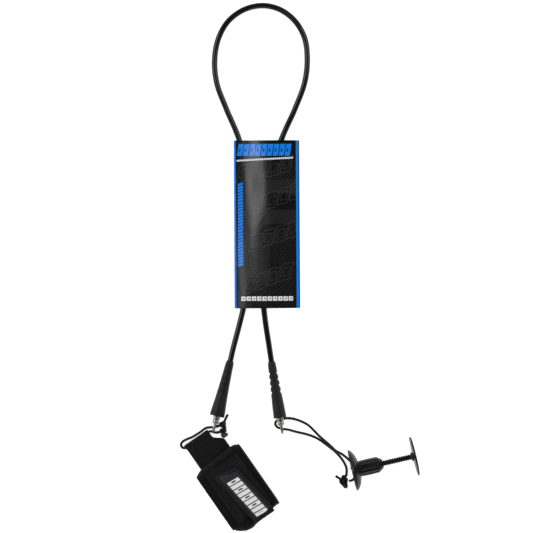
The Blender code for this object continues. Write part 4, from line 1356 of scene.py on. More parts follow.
@made_once
def stitch_tree():
    """Short thread stitches along the edges of a path."""
    tree, work, given = geometry_tree(
        "Stitch run",
        [
            ("Spacing", "Float", 0.003),
            ("Length", "Float", 0.002),
            ("Thread radius", "Float", 0.0002),
            ("Thread", "Material", None),
        ],
    )
    curve = work.node("GeometryNodeMeshToCurve", {"Mesh": given["Geometry"]}).outputs[0]
    spaced = work.node(
        "GeometryNodeResampleCurve", {"Curve": curve, "Length": given["Spacing"]}, mode="LENGTH"
    ).outputs[0]
    tangent = work.node("GeometryNodeInputTangent").outputs[0]
    turn = work.node("FunctionNodeAlignRotationToVector", {"Vector": tangent}, axis="Z").outputs[0]
    radius, half = given["Thread radius"], work.times(given["Length"], 0.5)
    laid_on(work, spaced, bead(work, 8, 6, radius, radius, half), given["Thread"], Rotation=turn)
    return tree


@made_once
def pile_tree():
    """Short bent hooks or loops scattered over a face with a fixed seed."""
    tree, work, given = geometry_tree(
        "Pile", [
            ("Density", "Float", 900000.0),
            ("Height", "Float", 0.0004),
            ("Seed", "Int", 7),
            ("Pile", "Material", None),
        ]
    )
    faces = work.node(
        "GeometryNodeDistributePointsOnFaces",
        {"Mesh": given["Geometry"], "Density": given["Density"], "Seed": given["Seed"]},
    ).outputs["Points"]
    spin = work.node(
        "FunctionNodeRandomValue", {
            "Min": (-0.6, -0.6, 0.0), "Max": (0.6, 0.6, TURN), "Seed": given["Seed"]
        }, data_type="FLOAT_VECTOR"
    ).outputs[0]
    thick = work.times(given["Height"], 0.45)
    tall = work.times(given["Height"], 0.5)
    tuft = bead(work, 5, 3, thick, work.times(thick, 1.9), tall)
    laid_on(work, faces, tuft, given["Pile"], Rotation=spin)
    return tree


@made_once
def grip_tree():
    """Raised ribs set round an axis, such as those along the plug's tube."""
    tree, work, given = geometry_tree(
        "Ribs round an axis",
        [
            ("Count", "Int", 12),
            ("Ring radius", "Float", 0.008),
            ("Length", "Float", 0.02),
            ("Rib radius", "Float", 0.0006),
            ("Plastic", "Material", None),
        ],
    )
    circle = work.node(
        "GeometryNodeMeshCircle", {"Vertices": given["Count"], "Radius": given["Ring radius"]}
    ).outputs[0]
    upright = work.node(
        "GeometryNodeTransform", {"Geometry": circle, "Rotation": (0.0, QUARTER, 0.0)}
    ).outputs[0]
    half = work.times(given["Length"], 0.5)
    rib = bead(work, 12, 16, half, given["Rib radius"], given["Rib radius"])
    laid_on(work, upright, rib, given["Plastic"])
    return tree


def grown(name, tree, points, edges, faces, matrix, **values):
    """Runs a Geometry Nodes tree on a small mesh and keeps the result as a plain mesh at the origin."""
    mesh = bpy.data.meshes.new(name + "_guide")
    mesh.from_pydata([tuple(matrix @ Vector(p)) for p in points], edges, faces)
    guide = bpy.data.objects.new(name + "_guide", mesh)
    bpy.context.scene.collection.objects.link(guide)
    modifier = guide.modifiers.new(name, "NODES")
    modifier.node_group = tree
    for item in tree.interface.items_tree:
        if item.in_out == "INPUT" and item.name in values:
            modifier[item.identifier] = values[item.name]
    graph = bpy.context.evaluated_depsgraph_get()
    graph.update()
    result = bpy.data.meshes.new_from_object(guide.evaluated_get(graph))
    result.name = name
    guide.modifiers.remove(modifier)
    bpy.data.objects.remove(guide)
    facing_out(result)
    result.shade_smooth()
    thing = bpy.data.objects.new(name, result)
    bpy.context.scene.collection.objects.link(thing)
    return thing


def stitched(name, runs, matrix, thread_radius=0.00022):
    """Thread stitches along several runs of points in a frame."""
    points, edges = [], []
    for run in runs:
        start = len(points)
        points.extend(run)
        edges.extend((start + i, start + i + 1) for i in range(len(run) - 1))
    values = {
        "Spacing": sizes().stitch_gap,
        "Length": sizes().stitch_length,
        "Thread radius": thread_radius,
        "Thread": thread_finish(),
    }
    return grown(name, stitch_tree(), points, edges, [], matrix, **values)


# ---------------------------------------------------------------- pieces


class LEASH_OT_stage(bpy.types.Operator):
    """Sets the floor, the soft lights and the camera that looks straight down"""

    bl_idname = "leash.stage"
    bl_label = "Floor, lights and camera"

    def execute(self, context):
        view_x, view_y, height, plane = LAYOUT_SHIFT.x, LAYOUT_SHIFT.y, 2.1, 0.006
        framed_width = 0.5863
        camera_data = bpy.data.cameras.new("camera")
        camera_data.sensor_width = 36.0
        camera_data.lens = 36.0 * height / framed_width
        camera_data.clip_start, camera_data.clip_end = 0.1, 20.0
        camera = bpy.data.objects.new("camera", camera_data)
        camera.location = (view_x, view_y, height + plane)
        context.scene.collection.objects.link(camera)
        context.scene.camera = camera

        reach = 6.0
        mesh = bpy.data.meshes.new("floor")
        corners = [(-reach, -reach, 0.0), (reach, -reach, 0.0), (reach, reach, 0.0), (-reach, reach, 0.0)]
        mesh.from_pydata([(x, y, -0.0004) for x, y, _ in corners], [], [(0, 1, 2, 3)])
        floor = bpy.data.objects.new("floor", mesh)
        context.scene.collection.objects.link(floor)
        paper = bpy.data.materials.new("Pale floor")
        paper.use_nodes = True
        shader = paper.node_tree.nodes["Principled BSDF"]
        shader.inputs["Base Color"].default_value = (0.90, 0.90, 0.90, 1.0)
        shader.inputs["Roughness"].default_value = 0.9
        shader.inputs["Specular IOR Level"].default_value = 0.0
        shader.inputs["Emission Color"].default_value = (1.0, 1.0, 1.0, 1.0)
        shader.inputs["Emission Strength"].default_value = 0.74
        mesh.materials.append(paper)

        aim = Vector((view_x, view_y - 0.03, 0.0))
        lights = [
            ("key_left", (-1.25, 0.55, 1.25), 0.9, 0.9, 10.0),
            ("key_right", (1.20, 0.75, 1.35), 0.9, 0.9, 8.0),
            ("front_fill", (0.10, -1.60, 1.10), 1.3, 0.5, 4.0),
            ("card_glow", (-0.262, 0.270, 1.9), 0.20, 0.30, 0.62),
            ("card_glow_low", (-0.480, 0.045, 1.9), 0.12, 0.15, 0.16),
        ]
        for name, place, width, length, power in lights:
            data = bpy.data.lights.new(name, "AREA")
            data.shape, data.size, data.size_y, data.energy = "RECTANGLE", width, length, power
            lamp = bpy.data.objects.new(name, data)
            lamp.location = place
            lamp.rotation_mode = "QUATERNION"
            target = aim if "glow" not in name else Vector((place[0], place[1], 0.0))
            lamp.rotation_quaternion = (target - Vector(place)).to_track_quat("-Z", "Y")
            lamp.visible_camera = False
            context.scene.collection.objects.link(lamp)

        world = bpy.data.worlds.new("studio")
        context.scene.world = world
        world.use_nodes = True
        sky = Tree(world.node_tree)
        _, _, rise = sky.split(sky.node("ShaderNodeTexCoord").outputs["Generated"])
        level = sky.ramp(rise, 0.35, 0.95, 0.60, 0.09)
        background = world.node_tree.nodes["Background"]
        background.inputs["Color"].default_value = (1.0, 1.0, 1.0, 1.0)
        world.node_tree.links.new(level, background.inputs["Strength"])
        context.scene.view_settings.view_transform = "Standard"
        return {"FINISHED"}


def cord_route():
    ends = []
    for face, cord_end, _ in (CUFF_HORN, PLUG_HORN):
        axis = (face - cord_end).normalized()
        start = face - axis * CORD_END_DEPTH
        ends.append((start, start.lerp(cord_end, 0.5), cord_end))
    first, last = ends
    return [placed(p) for p in [*first, *CORD_ROUTE, last[2], last[1], last[0]]]


class LEASH_OT_cord(bpy.types.Operator):
    """Lays the leash cord from horn to horn through the card sleeve"""

    bl_idname = "leash.cord"
    bl_label = "Leash cord"

    def execute(self, context):
        points = spline_points(cord_route(), sizes().cord_step)
        curve = bpy.data.curves.new("cord", "CURVE")
        curve.dimensions = "3D"
        curve.bevel_depth = CORD_DIAMETER / 2
        curve.bevel_resolution = 10
        curve.use_fill_caps = True
        curve.twist_mode = "MINIMUM"
        spline = curve.splines.new("POLY")
        spline.points.add(len(points) - 1)
        for slot, point in zip(spline.points, points):
            slot.co = (*point, 1.0)
        spline.use_smooth = True
        curve.materials.append(cord_finish())
        cord = bpy.data.objects.new("cord", curve)
        context.scene.collection.objects.link(cord)
        fit(cord, "leash", "cord_urethane", "leash_cord")
        return {"FINISHED"}


def cuff_string_route():
    shares = (0.0, 0.2, 0.5, 0.8, 1.0)
    hem = [cuff_point(HEM_ALONG, share * HEM_LENGTH, HEM_HEIGHT) for share in shares]
    return [placed(p) for p in CUFF_STRING_ROUTE] + hem + [placed(p) for p in CUFF_STRING_TAIL]


def plug_string_route():
    behind = BAR_ALONG + BAR_RADIUS + 0.0003 + STRING_DIAMETER / 2 + 0.0001
    low = -0.0088
    bend = [
        (-0.0012, 0.0125, low - 0.0005),
        (behind - 0.0018, 0.0058, low),
        (behind, 0.0, low),
        (behind - 0.0018, -0.0058, low),
        (-0.0008, -0.0110, low - 0.0005),
        (-0.0050, -0.0118, low - 0.0030),
    ]
    return [placed(p) for p in PLUG_STRING_ROUTE] + [plug_frame() @ Vector(p) for p in bend]


def braided(name, points, start=0.0, sides=36):
    """A braided string along points in the frame's coordinates, whose pattern starts at a distance."""
    pattern = braid_relief(4, sizes().braid_pitch, sizes().braid_relief)
    rings, distances = tube_rings(
        points, STRING_DIAMETER / 2, sides, lambda share, d: pattern(share, d + start)
    )
    shell = Shell().grid(rings, along=[(d + start) / MM for d in distances])
    return build(name, shell, string_finish(), Matrix.Identity(4))


def knot_shell(centre, half, turn, sides=28):
    """One tight overhand knot: a trefoil of string scaled into its lump, round a core."""
    wire = STRING_DIAMETER / 2 * 0.92
    reach = [max(h - wire, 0.001) for h in half]
    points = []
    count = 150
    for i in range(count):
        t = TURN * i / count
        x = (math.sin(t) + 2 * math.sin(2 * t)) / 2.9
        y = (math.cos(t) - 2 * math.cos(2 * t)) / 2.9
        z = -math.sin(3 * t) * 0.75
        points.append(Vector((x * reach[0], y * reach[1], z * reach[2])))
    spin = Matrix.Rotation(turn, 3, "Z")
    points = [spin @ p + Vector(centre) for p in points]
    relief = braid_relief(4, sizes().braid_pitch, sizes().braid_relief)
    rings, distances = tube_rings(points + points[:1], wire, sides, relief)
    # The last ring is turned back onto the first, so that the loop closes without a step
    return Shell().grid(rings[:-1], ends=True, caps=False, along=[d / MM for d in distances[:-1]])


def string_stub(start, end, swell=1.0):
    """A cut and melted end of string."""
    start, end = placed(start), placed(end)
    count = 24
    points = [
        start.lerp(end, i / count) + Vector((0, 0, 0.0006 * math.sin(math.pi * i / count)))
        for i in range(count + 1)
    ]
    wire = STRING_DIAMETER / 2

    def radius(i):
        share = i / count
        if share < 0.86:
            return wire
        return wire * (1.0 + 0.14 * swell) * math.sqrt(max(0.02, 1 - ((share - 0.86) / 0.14) ** 2 * 0.9))

    relief = braid_relief(4, sizes().braid_pitch, sizes().braid_relief)
    rings, distances = tube_rings(points, radius, 28, relief)
    return Shell().grid(rings, along=[d / MM for d in distances])


class LEASH_OT_strings(bpy.types.Operator):
    """Braids the cuff's string and the plug's string, and ties their knots"""

    bl_idname = "leash.strings"
    bl_label = "Braided strings and knots"

    def execute(self, context):
        cuff_knot_place = placed((-0.0478, -0.1742, 0.0076))
        knot = knot_shell(cuff_knot_place, (0.0044, 0.0054, 0.0048), 0.5)
        knot.add(ellipsoid(cuff_knot_place, (0.0026, 0.0034, 0.0030), 12, 20))
        second = placed((-0.0476, -0.1812, 0.0070))
        knot.add(knot_shell(second, (0.0042, 0.0044, 0.0044), 2.2))
        knot.add(ellipsoid(second, (0.0024, 0.0026, 0.0026), 12, 20))
        knot.add(string_stub((-0.0470, -0.1716, 0.0080), (-0.0424, -0.1622, 0.0090)))
        knot.add(string_stub((-0.0560, -0.1757, 0.0076), (-0.0478, -0.1740, 0.0076), 0.0))
        knot.add(string_stub((-0.0558, -0.1829, 0.0026), (-0.0480, -0.1815, 0.0066), 0.0))
        cuff_knot = build("cuff_knot", knot, string_finish(), Matrix.Identity(4))
        fit(cuff_knot, "cuff_loop", "braided_string", "cuff_string_knot")
        blob = ellipsoid(placed((-0.0468, -0.1855, 0.0078)), (0.0036, 0.0028, 0.0032), 24, 36, 0.35)
        blob.add(ellipsoid(placed((-0.0443, -0.1846, 0.0086)), (0.0022, 0.0018, 0.0020), 18, 28, 0.4))
        melted = build("cuff_knot_melted_end", blob, melted_finish(), Matrix.Identity(4))
        fit(melted, "cuff_loop", "braided_string")

        points = spline_points(cuff_string_route(), sizes().string_step)
        string = braided("cuff_string_braid", points)
        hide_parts("cuff_string")
        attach(string, "cuff_loop")

        plug_knot_place = placed((0.0853, -0.2372, 0.0078))
        knot = knot_shell(plug_knot_place, (0.0053, 0.0070, 0.0062), 0.3)
        knot.add(knot_shell(placed((0.0851, -0.2336, 0.0080)), (0.0046, 0.0044, 0.0056), 1.4))
        knot.add(ellipsoid(plug_knot_place, (0.0036, 0.0050, 0.0044), 14, 24))
        knot.add(ellipsoid(placed((0.0851, -0.2330, 0.0080)), (0.0032, 0.0034, 0.0038), 14, 24))
        knot.add(string_stub((0.0835, -0.2350, 0.0080), (0.0758, -0.2302, 0.0072)))
        knot.add(string_stub((0.0870, -0.2290, 0.0100), (0.0856, -0.2345, 0.0084), 0.0))
        plug_knot = build("plug_knot", knot, string_finish(), Matrix.Identity(4))
        fit(plug_knot, "plug", "braided_string", "plug_string_knot")

        points = spline_points(plug_string_route(), sizes().string_step)
        cut = placed((PLUG_STRING_CUT, 0.0, 0.0)).x
        inner = [i for i, point in enumerate(points) if point.x < cut]
        first, last = inner[0], inner[-1]
        swivel_end, loop_start = placed(PLUG_STRING_BEND[0]), placed(PLUG_STRING_BEND[1])
        loop_end, plug_start = placed(PLUG_STRING_BEND[2]), placed(PLUG_STRING_BEND[3])
        lengths = (
            (
                "plug_string_knot_length",
                points[: first + 1],
                ("plug_loop", "plug", loop_end, plug_start),
                "knot",
            ),
            (
                "plug_string_swivel_length",
                points[first : last + 1],
                ("plug_swivel", "plug_loop", swivel_end, loop_start),
                "object",
            ),
            ("plug_string_bar_length", points[last:], ("plug_loop", "plug", loop_end, plug_start), "knot"),
        )
        travelled = 0.0
        for name, part, bend, far_end in lengths:
            string = braided(name, part, start=travelled)
            travelled += path_length(part)
            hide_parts("plug_string")
            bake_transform(string)
        return {"FINISHED"}


def horn_shell():
    """An oval strain relief: a dense outer skin with softened recesses, then the stepped bore back inside."""
    around = 144
    stations = set(np.round(np.linspace(0.0013, 0.0590, 130), 6))
    for i in range(SLOT_COUNT):
        middle = SLOT_FIRST + i * SLOT_PITCH
        for side in (-1, 1):
            for offset in (-0.0002, -0.0001, 0.0, 0.0001, 0.0002):
                stations.add(round(middle + side * SLOT_LENGTH / 2 + offset, 6))
    stations |= {0.0000, 0.0001, 0.0003, 0.0006, 0.0009, 0.0012, 0.0600, 0.0608, 0.0615, 0.0620, 0.0623}
    stations = sorted(float(s) for s in stations)
    broad_table = [(a, b) for a, b, _ in HORN_SECTIONS]
    narrow_table = [(a, c) for a, _, c in HORN_SECTIONS]
    rings = []
    for depth in stations:
        face_round = 0.0007 * (1 - math.sqrt(max(0.0, 1 - (1 - min(1.0, depth / 0.0007)) ** 2)))
        broad, narrow = table_value(broad_table, max(depth, 0.0012)), table_value(
            narrow_table, max(depth, 0.0012)
        )
        flare = 0.5 * smooth_step(0.0008, 0.0018, depth) * (1 - smooth_step(0.0018, 0.0030, depth))
        ring = []
        for k in range(around):
            turn = TURN * k / around
            x, y = (broad - face_round) * math.cos(turn), (narrow - face_round) * math.sin(turn)
            cut = 0.0
            for i in range(SLOT_COUNT):
                middle = SLOT_FIRST + i * SLOT_PITCH
                lengthwise = 1 - smooth_step(
                    SLOT_LENGTH / 2 - 0.00018, SLOT_LENGTH / 2 + 0.00018, abs(depth - middle)
                )
                widthwise = 1 - smooth_step(SLOT_WIDTH / 2 - 0.0004, SLOT_WIDTH / 2 + 0.0004, abs(x))
                cut = max(cut, lengthwise * widthwise)
            length = math.hypot(x, y)
            parting = 0.00010 * math.exp(-((y / 0.00022) ** 2))
            groove = -0.00018 * math.exp(-(((depth - 0.0042) / 0.0003) ** 2))
            scale = (length + parting + groove - flare * 0.0001) / length
            x, y = x * scale, y * scale
            y -= math.copysign(cut * SLOT_DEPTH, y)
            ring.append(Vector((x, y, -depth)))
        rings.append(ring)
    inner = [
        (0.0035, 0.0623),
        (0.0035, 0.0293),
        (0.0049, 0.0293),
        (0.0049, 0.0167),
        (0.0035, 0.0167),
        (0.0035, 0.0120),
        (0.0042, 0.0120),
        (0.0042, 0.0005),
        (0.0045, 0.0),
    ]
    for radius, depth in inner:
        rings.append(circle(radius, -depth, around, "Z"))
    return hoop(rings)


class LEASH_OT_horns(bpy.types.Operator):
    """Moulds the two rubber horns with the crimped sleeves inside them"""

    bl_idname = "leash.horns"
    bl_label = "Horns and crimped sleeves"

    def execute(self, context):
        for end, horn in (("cuff", CUFF_HORN), ("plug", PLUG_HORN)):
            matrix = horn_frame(horn)
            fit(
                build(end + "_horn_moulding", horn_shell(), horn_finish(), matrix),
                "leash",
                "horn_rubber",
                end + "_horn",
            )
            profile = [
                (0.0035, -0.0290),
                (0.0046, -0.0290),
                (0.0046, -0.0262),
                (0.0043, -0.0256),
                (0.0043, -0.0238),
                (0.0046, -0.0232),
            ]
            profile += [
                (0.0046, -0.0208),
                (0.0043, -0.0202),
                (0.0043, -0.0184),
                (0.0046, -0.0178),
                (0.0046, -0.0170),
                (0.0035, -0.0170),
            ]
            sleeve = hoop(lathe(rounded(profile, 0.0002), 64))
            fit(
                build(end + "_crimped_sleeve", sleeve, brass_finish(), matrix),
                "leash",
                "crimp_brass",
                end + "_ferrule",
            )
        return {"FINISHED"}


def bow_shell():
    """A bent wire bow with rounded feet, in the swivel's frame."""
    foot = BARREL_OUT + 0.0003 + BLOCK_LENGTH - 0.0020 + 0.0003
    bend = BOW_TIP - BOW_WIRE - BOW_LEG
    path = [Vector((BOW_LEG, 0, foot + (bend - foot) * i / 12)) for i in range(12)]
    path += [
        Vector((BOW_LEG * math.cos(math.pi * i / 28), 0, bend + BOW_LEG * math.sin(math.pi * i / 28)))
        for i in range(29)
    ]
    path += [Vector((-BOW_LEG, 0, bend + (foot - bend) * i / 12)) for i in range(1, 13)]
    rings, distances = tube_rings(path, BOW_WIRE, 40)
    return Shell().grid(rings, along=[d / MM for d in distances])


def stadium(half, radius, count=20):
    points = []
    for side, start in ((1, -math.pi / 2), (-1, math.pi / 2)):
        for i in range(count + 1):
            turn = start + math.pi * i / count
            points.append((side * (half - radius) + radius * math.cos(turn), radius * math.sin(turn)))
    return points


def stud_shell():
    """A headed stud with a pillowed block whose two bosses hold the bow's legs."""
    head_top = BARREL_OUT - 0.0010 - 0.0003
    base = BARREL_OUT + 0.0003
    profile = [
        (0.0, head_top - 0.0022),
        (0.0026, head_top - 0.0022),
        (0.0026, head_top),
        (0.0016, head_top),
        (0.0016, base + 0.001),
        (0.0, base + 0.001),
    ]
    shell = Shell().grid(lathe(rounded(profile, 0.0003), 48))
    rings = []
    radius, half = BLOCK_WIDTH / 2, BLOCK_HALF
    rows = [
        (0.0, 0.0012),
        (0.0002, 0.0006),
        (0.0006, 0.0002),
        (0.0012, 0.0),
        (0.0022, 0.0),
        (0.0031, 0.0),
        (0.0037, 0.0003),
        (0.0041, 0.0008),
        (0.0042, 0.0014),
    ]
    for height, inset in rows:
        rings.append([Vector((x, y, base + height)) for x, y in stadium(half - inset, radius - inset)])
    shell.add(Shell().grid(rings))
    for side in (1, -1):
        collar = [
            (BOW_WIRE + 0.0001, 0.0036),
            (0.0024, 0.0036),
            (0.0024, 0.0045),
            (0.0021, 0.0049),
            (BOW_WIRE + 0.0001, 0.0049),
        ]
        ring = hoop(lathe(rounded(collar, 0.0002), 40))
        shell.add(ring.moved(Matrix.Translation((side * BOW_LEG, 0, base))))
    return shell


class LEASH_OT_swivels(bpy.types.Operator):
    """Turns the barrels and makes the studs and bows of the two swivels"""

    bl_idname = "leash.swivels"
    bl_label = "Swivels"

    def execute(self, context):
        for end, horn in (("cuff", CUFF_HORN), ("plug", PLUG_HORN)):
            profile = [
                (BARREL_RADIUS, -BARREL_DEPTH),
                (BARREL_RADIUS, 0.0008),
                (BARREL_RADIUS - 0.0003, 0.0011),
                (BARREL_RADIUS - 0.0003, 0.0015),
                (BARREL_RADIUS, 0.0018),
                (BARREL_RADIUS, BARREL_OUT - 0.0004),
                (BARREL_RADIUS - 0.0006, BARREL_OUT),
                (0.0018, BARREL_OUT),
                (0.0018, BARREL_OUT - 0.0010),
                (0.0029, BARREL_OUT - 0.0010),
                (0.0029, -BARREL_DEPTH),
            ]
            barrel = hoop(lathe(rounded(profile, 0.0003), 80))
            fit(
                build(end + "_barrel", barrel, steel_finish(), horn_frame(horn)),
                "leash",
                "stainless",
                end + "_swivel_barrel",
            )
            spin = horn_frame(horn, spin=True)
            body = end + "_swivel"
            fit(
                build(end + "_stud", stud_shell(), steel_finish(), spin),
                body,
                "stainless",
                end + "_swivel_stud",
            )
            fit(
                build(end + "_bow", bow_shell(), steel_finish(), spin), body, "stainless", end + "_swivel_bow"
            )
        return {"FINISHED"}


class LEASH_OT_card(bpy.types.Operator):
    """Folds the printed card sleeve, and sets the tie round the cord's two runs"""

    bl_idname = "leash.card"
    bl_label = "Card sleeve and tie"

    def execute(self, context):
        half, fold = CARD_WIDTH / 2, 0.0009

        def section(inset, y):
            edge, corner = half - inset, max(fold - inset, 0.0003)
            pull = 1.0 - 0.012 * smooth_step(0.080, 0.092, abs(y))
            points = []
            for i in range(41):
                x = -edge + corner + (2 * edge - 2 * corner) * i / 40
                points.append((x, inset))
            top = CARD_SIDE_HEIGHT - inset
            points += arc(edge - corner, inset + corner, corner, -QUARTER, QUARTER, 6, 1)
            for i in range(1, 4):
                points.append((edge, inset + corner + (top - inset - 2 * corner) * i / 4))
            points += arc(edge - corner, top - corner, corner, 0.0, QUARTER, 6)
            for i in range(91):
                x = (edge - corner) * (1 - i / 45)
                crown = CARD_CROWN * (1 - (x / edge) ** 2)
                buckle = 0.00022 * noise.noise(Vector((x * 55, y * 22, 3.1))) * (1 - (x / edge) ** 4)
                points.append((x, top + crown * pull + buckle - CARD_CROWN * 0.04))
            points += arc(-edge + corner, top - corner, corner, QUARTER, QUARTER, 6, 1)
            for i in range(1, 4):
                points.append((-edge, top - corner - (top - inset - 2 * corner) * i / 4))
            points += arc(-edge + corner, inset + corner, corner, math.pi, QUARTER, 6, 1)
            return [Vector((x, y, z)) for x, z in points]

        ends = CARD_LENGTH / 2
        stations = [-ends + CARD_LENGTH * i / 110 for i in range(111)]
        outer = [section(0.0, y) for y in stations]
        inner = [section(CARD_THICKNESS, y) for y in reversed(stations)]
        shell = Shell()
        size, count = len(outer[0]), len(stations)
        shell.grid(outer + inner, ends=True, caps=False)
        for index in range(len(shell.faces)):
            row = index // size
            shell.slots[index] = 0 if row < count - 1 else 1
        sleeve = build(
            "card_sleeve_printed", shell, [card_finish(), board_core_finish()], card_frame(), smooth_angle=50
        )
        fit(sleeve, "leash", "printed_card", "card_sleeve")

        rings = []
        inner_radius, outer_radius = CORD_DIAMETER / 2 + 0.0003, CORD_DIAMETER / 2 + 0.0011
        outline = [
            (inner_radius, -0.002),
            (outer_radius - 0.0002, -0.002),
            (outer_radius, -0.0018),
            (outer_radius, 0.0018),
            (outer_radius - 0.0002, 0.002),
            (inner_radius, 0.002),
        ]
        for radius, y in outline:
            rings.append([Vector((x, y, z)) for x, z in stadium(0.0034 + radius, radius, 24)])
        tie = hoop(rings)
        place = Matrix.Translation(placed((-0.0099, 0.0347, 0.0052)))
        fit(build("cord_tie_band", tie, tie_finish(), place), "leash", "tie_plastic", "cord_tie")
        return {"FINISHED"}


def pad_path(across, inset, count=26, runs=44):
    """Points round the flattened loop at a distance across, drawn in by an inset, in the cuff's frame."""
    middle, reach = (PAD_BASE + PAD_TOP) / 2, (PAD_TOP - PAD_BASE) / 2
    radius = reach - inset
    far, near = table_value(PAD_ENDS, across) - reach, table_value(PAD_STARTS, across) + reach
    points = []
    for k in range(runs):
        points.append((near + (far - near) * k / runs, middle - radius))
    points += arc(far, middle, radius, -QUARTER, math.pi, count)
    for k in range(runs):
        points.append((far + (near - far) * k / runs, middle + radius))
    points += arc(near, middle, radius, QUARTER, math.pi, count)
    return [Vector((across, -along, height)) for along, height in points]


def pad_shell():
    """The pad's loop as a closed skin, a little thinner than the finished pad, for the simulation to fill."""
    left, right = PAD_LEFT + BINDING_WIDTH * 0.8, PAD_RIGHT - BINDING_WIDTH * 0.8
    stations = [left + (right - left) * i / PAD_ROWS for i in range(PAD_ROWS + 1)]
    rings = [pad_path(across, 0.0005) for across in stations]
    rings += [pad_path(across, PAD_WALL - 0.0006) for across in reversed(stations)]
    return hoop(rings)


def swell(thing, held, most, pressure):
    """Fills a soft piece with cloth under pressure, limits how far each point moves, and applies the result."""
    mesh = thing.data
    count = len(mesh.vertices)
    start = np.empty(count * 3)
    mesh.vertices.foreach_get("co", start)
    start = start.reshape(-1, 3)
    group = thing.vertex_groups.new(name="held")
    for index, weight in enumerate(held):
        if weight > 0.01:
            group.add([index], float(weight), "REPLACE")
    cloth = thing.modifiers.new("fill", "CLOTH")
    settings = cloth.settings
    settings.quality = 4
    settings.mass = 0.2
    settings.tension_stiffness = settings.compression_stiffness = 9.0
    settings.shear_stiffness = 5.0
    settings.bending_stiffness = 0.4
    settings.use_pressure = True
    settings.uniform_pressure_force = pressure
    settings.effector_weights.gravity = 0.0
    settings.vertex_group_mass = "held"
    cloth.collision_settings.use_self_collision = False
    cloth.point_cache.frame_start, cloth.point_cache.frame_end = 1, 20
    scene = bpy.context.scene
    for step in range(1, 21):
        scene.frame_set(step)
    graph = bpy.context.evaluated_depsgraph_get()
    moved = np.empty(count * 3)
    thing.evaluated_get(graph).data.vertices.foreach_get("co", moved)
    moved = moved.reshape(-1, 3)
    thing.modifiers.remove(cloth)
    scene.frame_set(1)
    travel = moved - start
    reach = np.linalg.norm(travel, axis=1)
    limit = most * np.tanh(reach / most) / np.maximum(reach, 1e-9)
    kept = start + travel * limit[:, None]
    mesh.vertices.foreach_set("co", kept.ravel())
    mesh.update()


def crumple(place):
    """Creases that run along and across the pad, as a height in metres."""
    along, across = -place.y, place.x
    long_folds = noise.noise(Vector((across * 260, along * 34, 0.4)))
    short_folds = noise.noise(Vector((across * 60 + 4.0, along * 210, 1.7)))
    broad = noise.noise(Vector((across * 50, along * 40, 8.0)))
    return 0.00045 * long_folds + 0.00035 * short_folds + 0.0005 * broad


def finish_pad():
    matrix = cuff_frame()
    shell = pad_shell()
    half = len(shell.points) // 2
    ring = len(pad_path(0.0, 0.0))
    (strap_left, strap_right), (strap_near, strap_far), _ = STRAP_BOX
    held = []
    for index, point in enumerate(shell.points):
        row = index // ring
        row = row if index < half else 2 * PAD_ROWS + 1 - row
        on_edge = min(row, PAD_ROWS - row) <= 1
        inside, on_ground = index >= half, point.z < PAD_BASE + 0.0012
        across_strap = strap_left - 0.0005 < point.x < strap_right + 0.0005
        along_strap = strap_near - 0.001 < -point.y < strap_far + 0.001
        strapped = across_strap and along_strap and point.z > PAD_TOP - 0.002
        held.append(1.0 if on_edge or inside or on_ground or strapped else 0.0)
    middle = (PAD_BASE + PAD_TOP) / 2
    for index in range(half):
        point = shell.points[index]
        if held[index] < 0.5:
            lift = crumple(point)
            outward = Vector((0, 0, 1))
            if point.z <= middle + 0.004:
                outward = Vector((0, -1 if point.y < -0.06 else 1, 0.3)).normalized()
            shell.points[index] = point + outward * (lift - 0.0004)
    pad = build("cuff_pad_foam", shell, pad_finish(), matrix, smooth_angle=180)
    swell(pad, held, sizes().pad_swell, sizes().pad_pressure)
    fine = pad.modifiers.new("smooth", "SUBSURF")
    fine.levels = fine.render_levels = 1
    graph = bpy.context.evaluated_depsgraph_get()
    made = bpy.data.meshes.new_from_object(pad.evaluated_get(graph))
    pad.modifiers.remove(fine)
    pad.data = made
    made.shade_smooth()
    return fit(pad, "cuff", "neoprene", "cuff_pad")


def binding(name, across, lean):
    """A folded tape that wraps the pad's raw edge, as an oval swept round the loop."""
    rings = []
    centre_line = pad_path(across, PAD_WALL / 2, 22, 40)
    outer_line = pad_path(across, 0.0, 22, 40)
    for centre, outer in zip(centre_line, outer_line):
        outward = (outer - centre).normalized()
        ring = []
        for k in range(24):
            turn = TURN * k / 24
            c, s = math.cos(turn), math.sin(turn)
            wide = math.copysign(abs(c) ** 0.7, c) * 0.00115
            tall = math.copysign(abs(s) ** 0.7, s) * (PAD_WALL / 2 + 0.0002)
            ring.append(centre + Vector((1, 0, 0)) * (wide + lean) + outward * tall)
        rings.append(ring)
    shell = hoop(rings)
    return build(name, shell, trim_finish(), cuff_frame(), smooth_angle=60)


class LEASH_OT_pad(bpy.types.Operator):
    """Fills the cuff's foam pad, and binds and stitches its two edges"""

    bl_idname = "leash.pad"
    bl_label = "Cuff pad and bindings"

    def execute(self, context):
        finish_pad()
        half = BINDING_WIDTH / 2
        fit(binding("cuff_left_tape", PAD_LEFT + half, 0.0001), "cuff", "edge_binding", "cuff_binding_left")
        fit(
            binding("cuff_right_tape", PAD_RIGHT - half, -0.0001),
            "cuff",
            "edge_binding",
            "cuff_binding_right",
        )
        runs = []
        for across in (PAD_LEFT + 0.0027, PAD_RIGHT - 0.0027):
            path = pad_path(across, 0.0002, 26, 44)
            runs.append(path + path[:1])
        thread = stitched("cuff_edge_stitches", runs, cuff_frame(), 0.00026)
        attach(thread, "cuff")
        return {"FINISHED"}


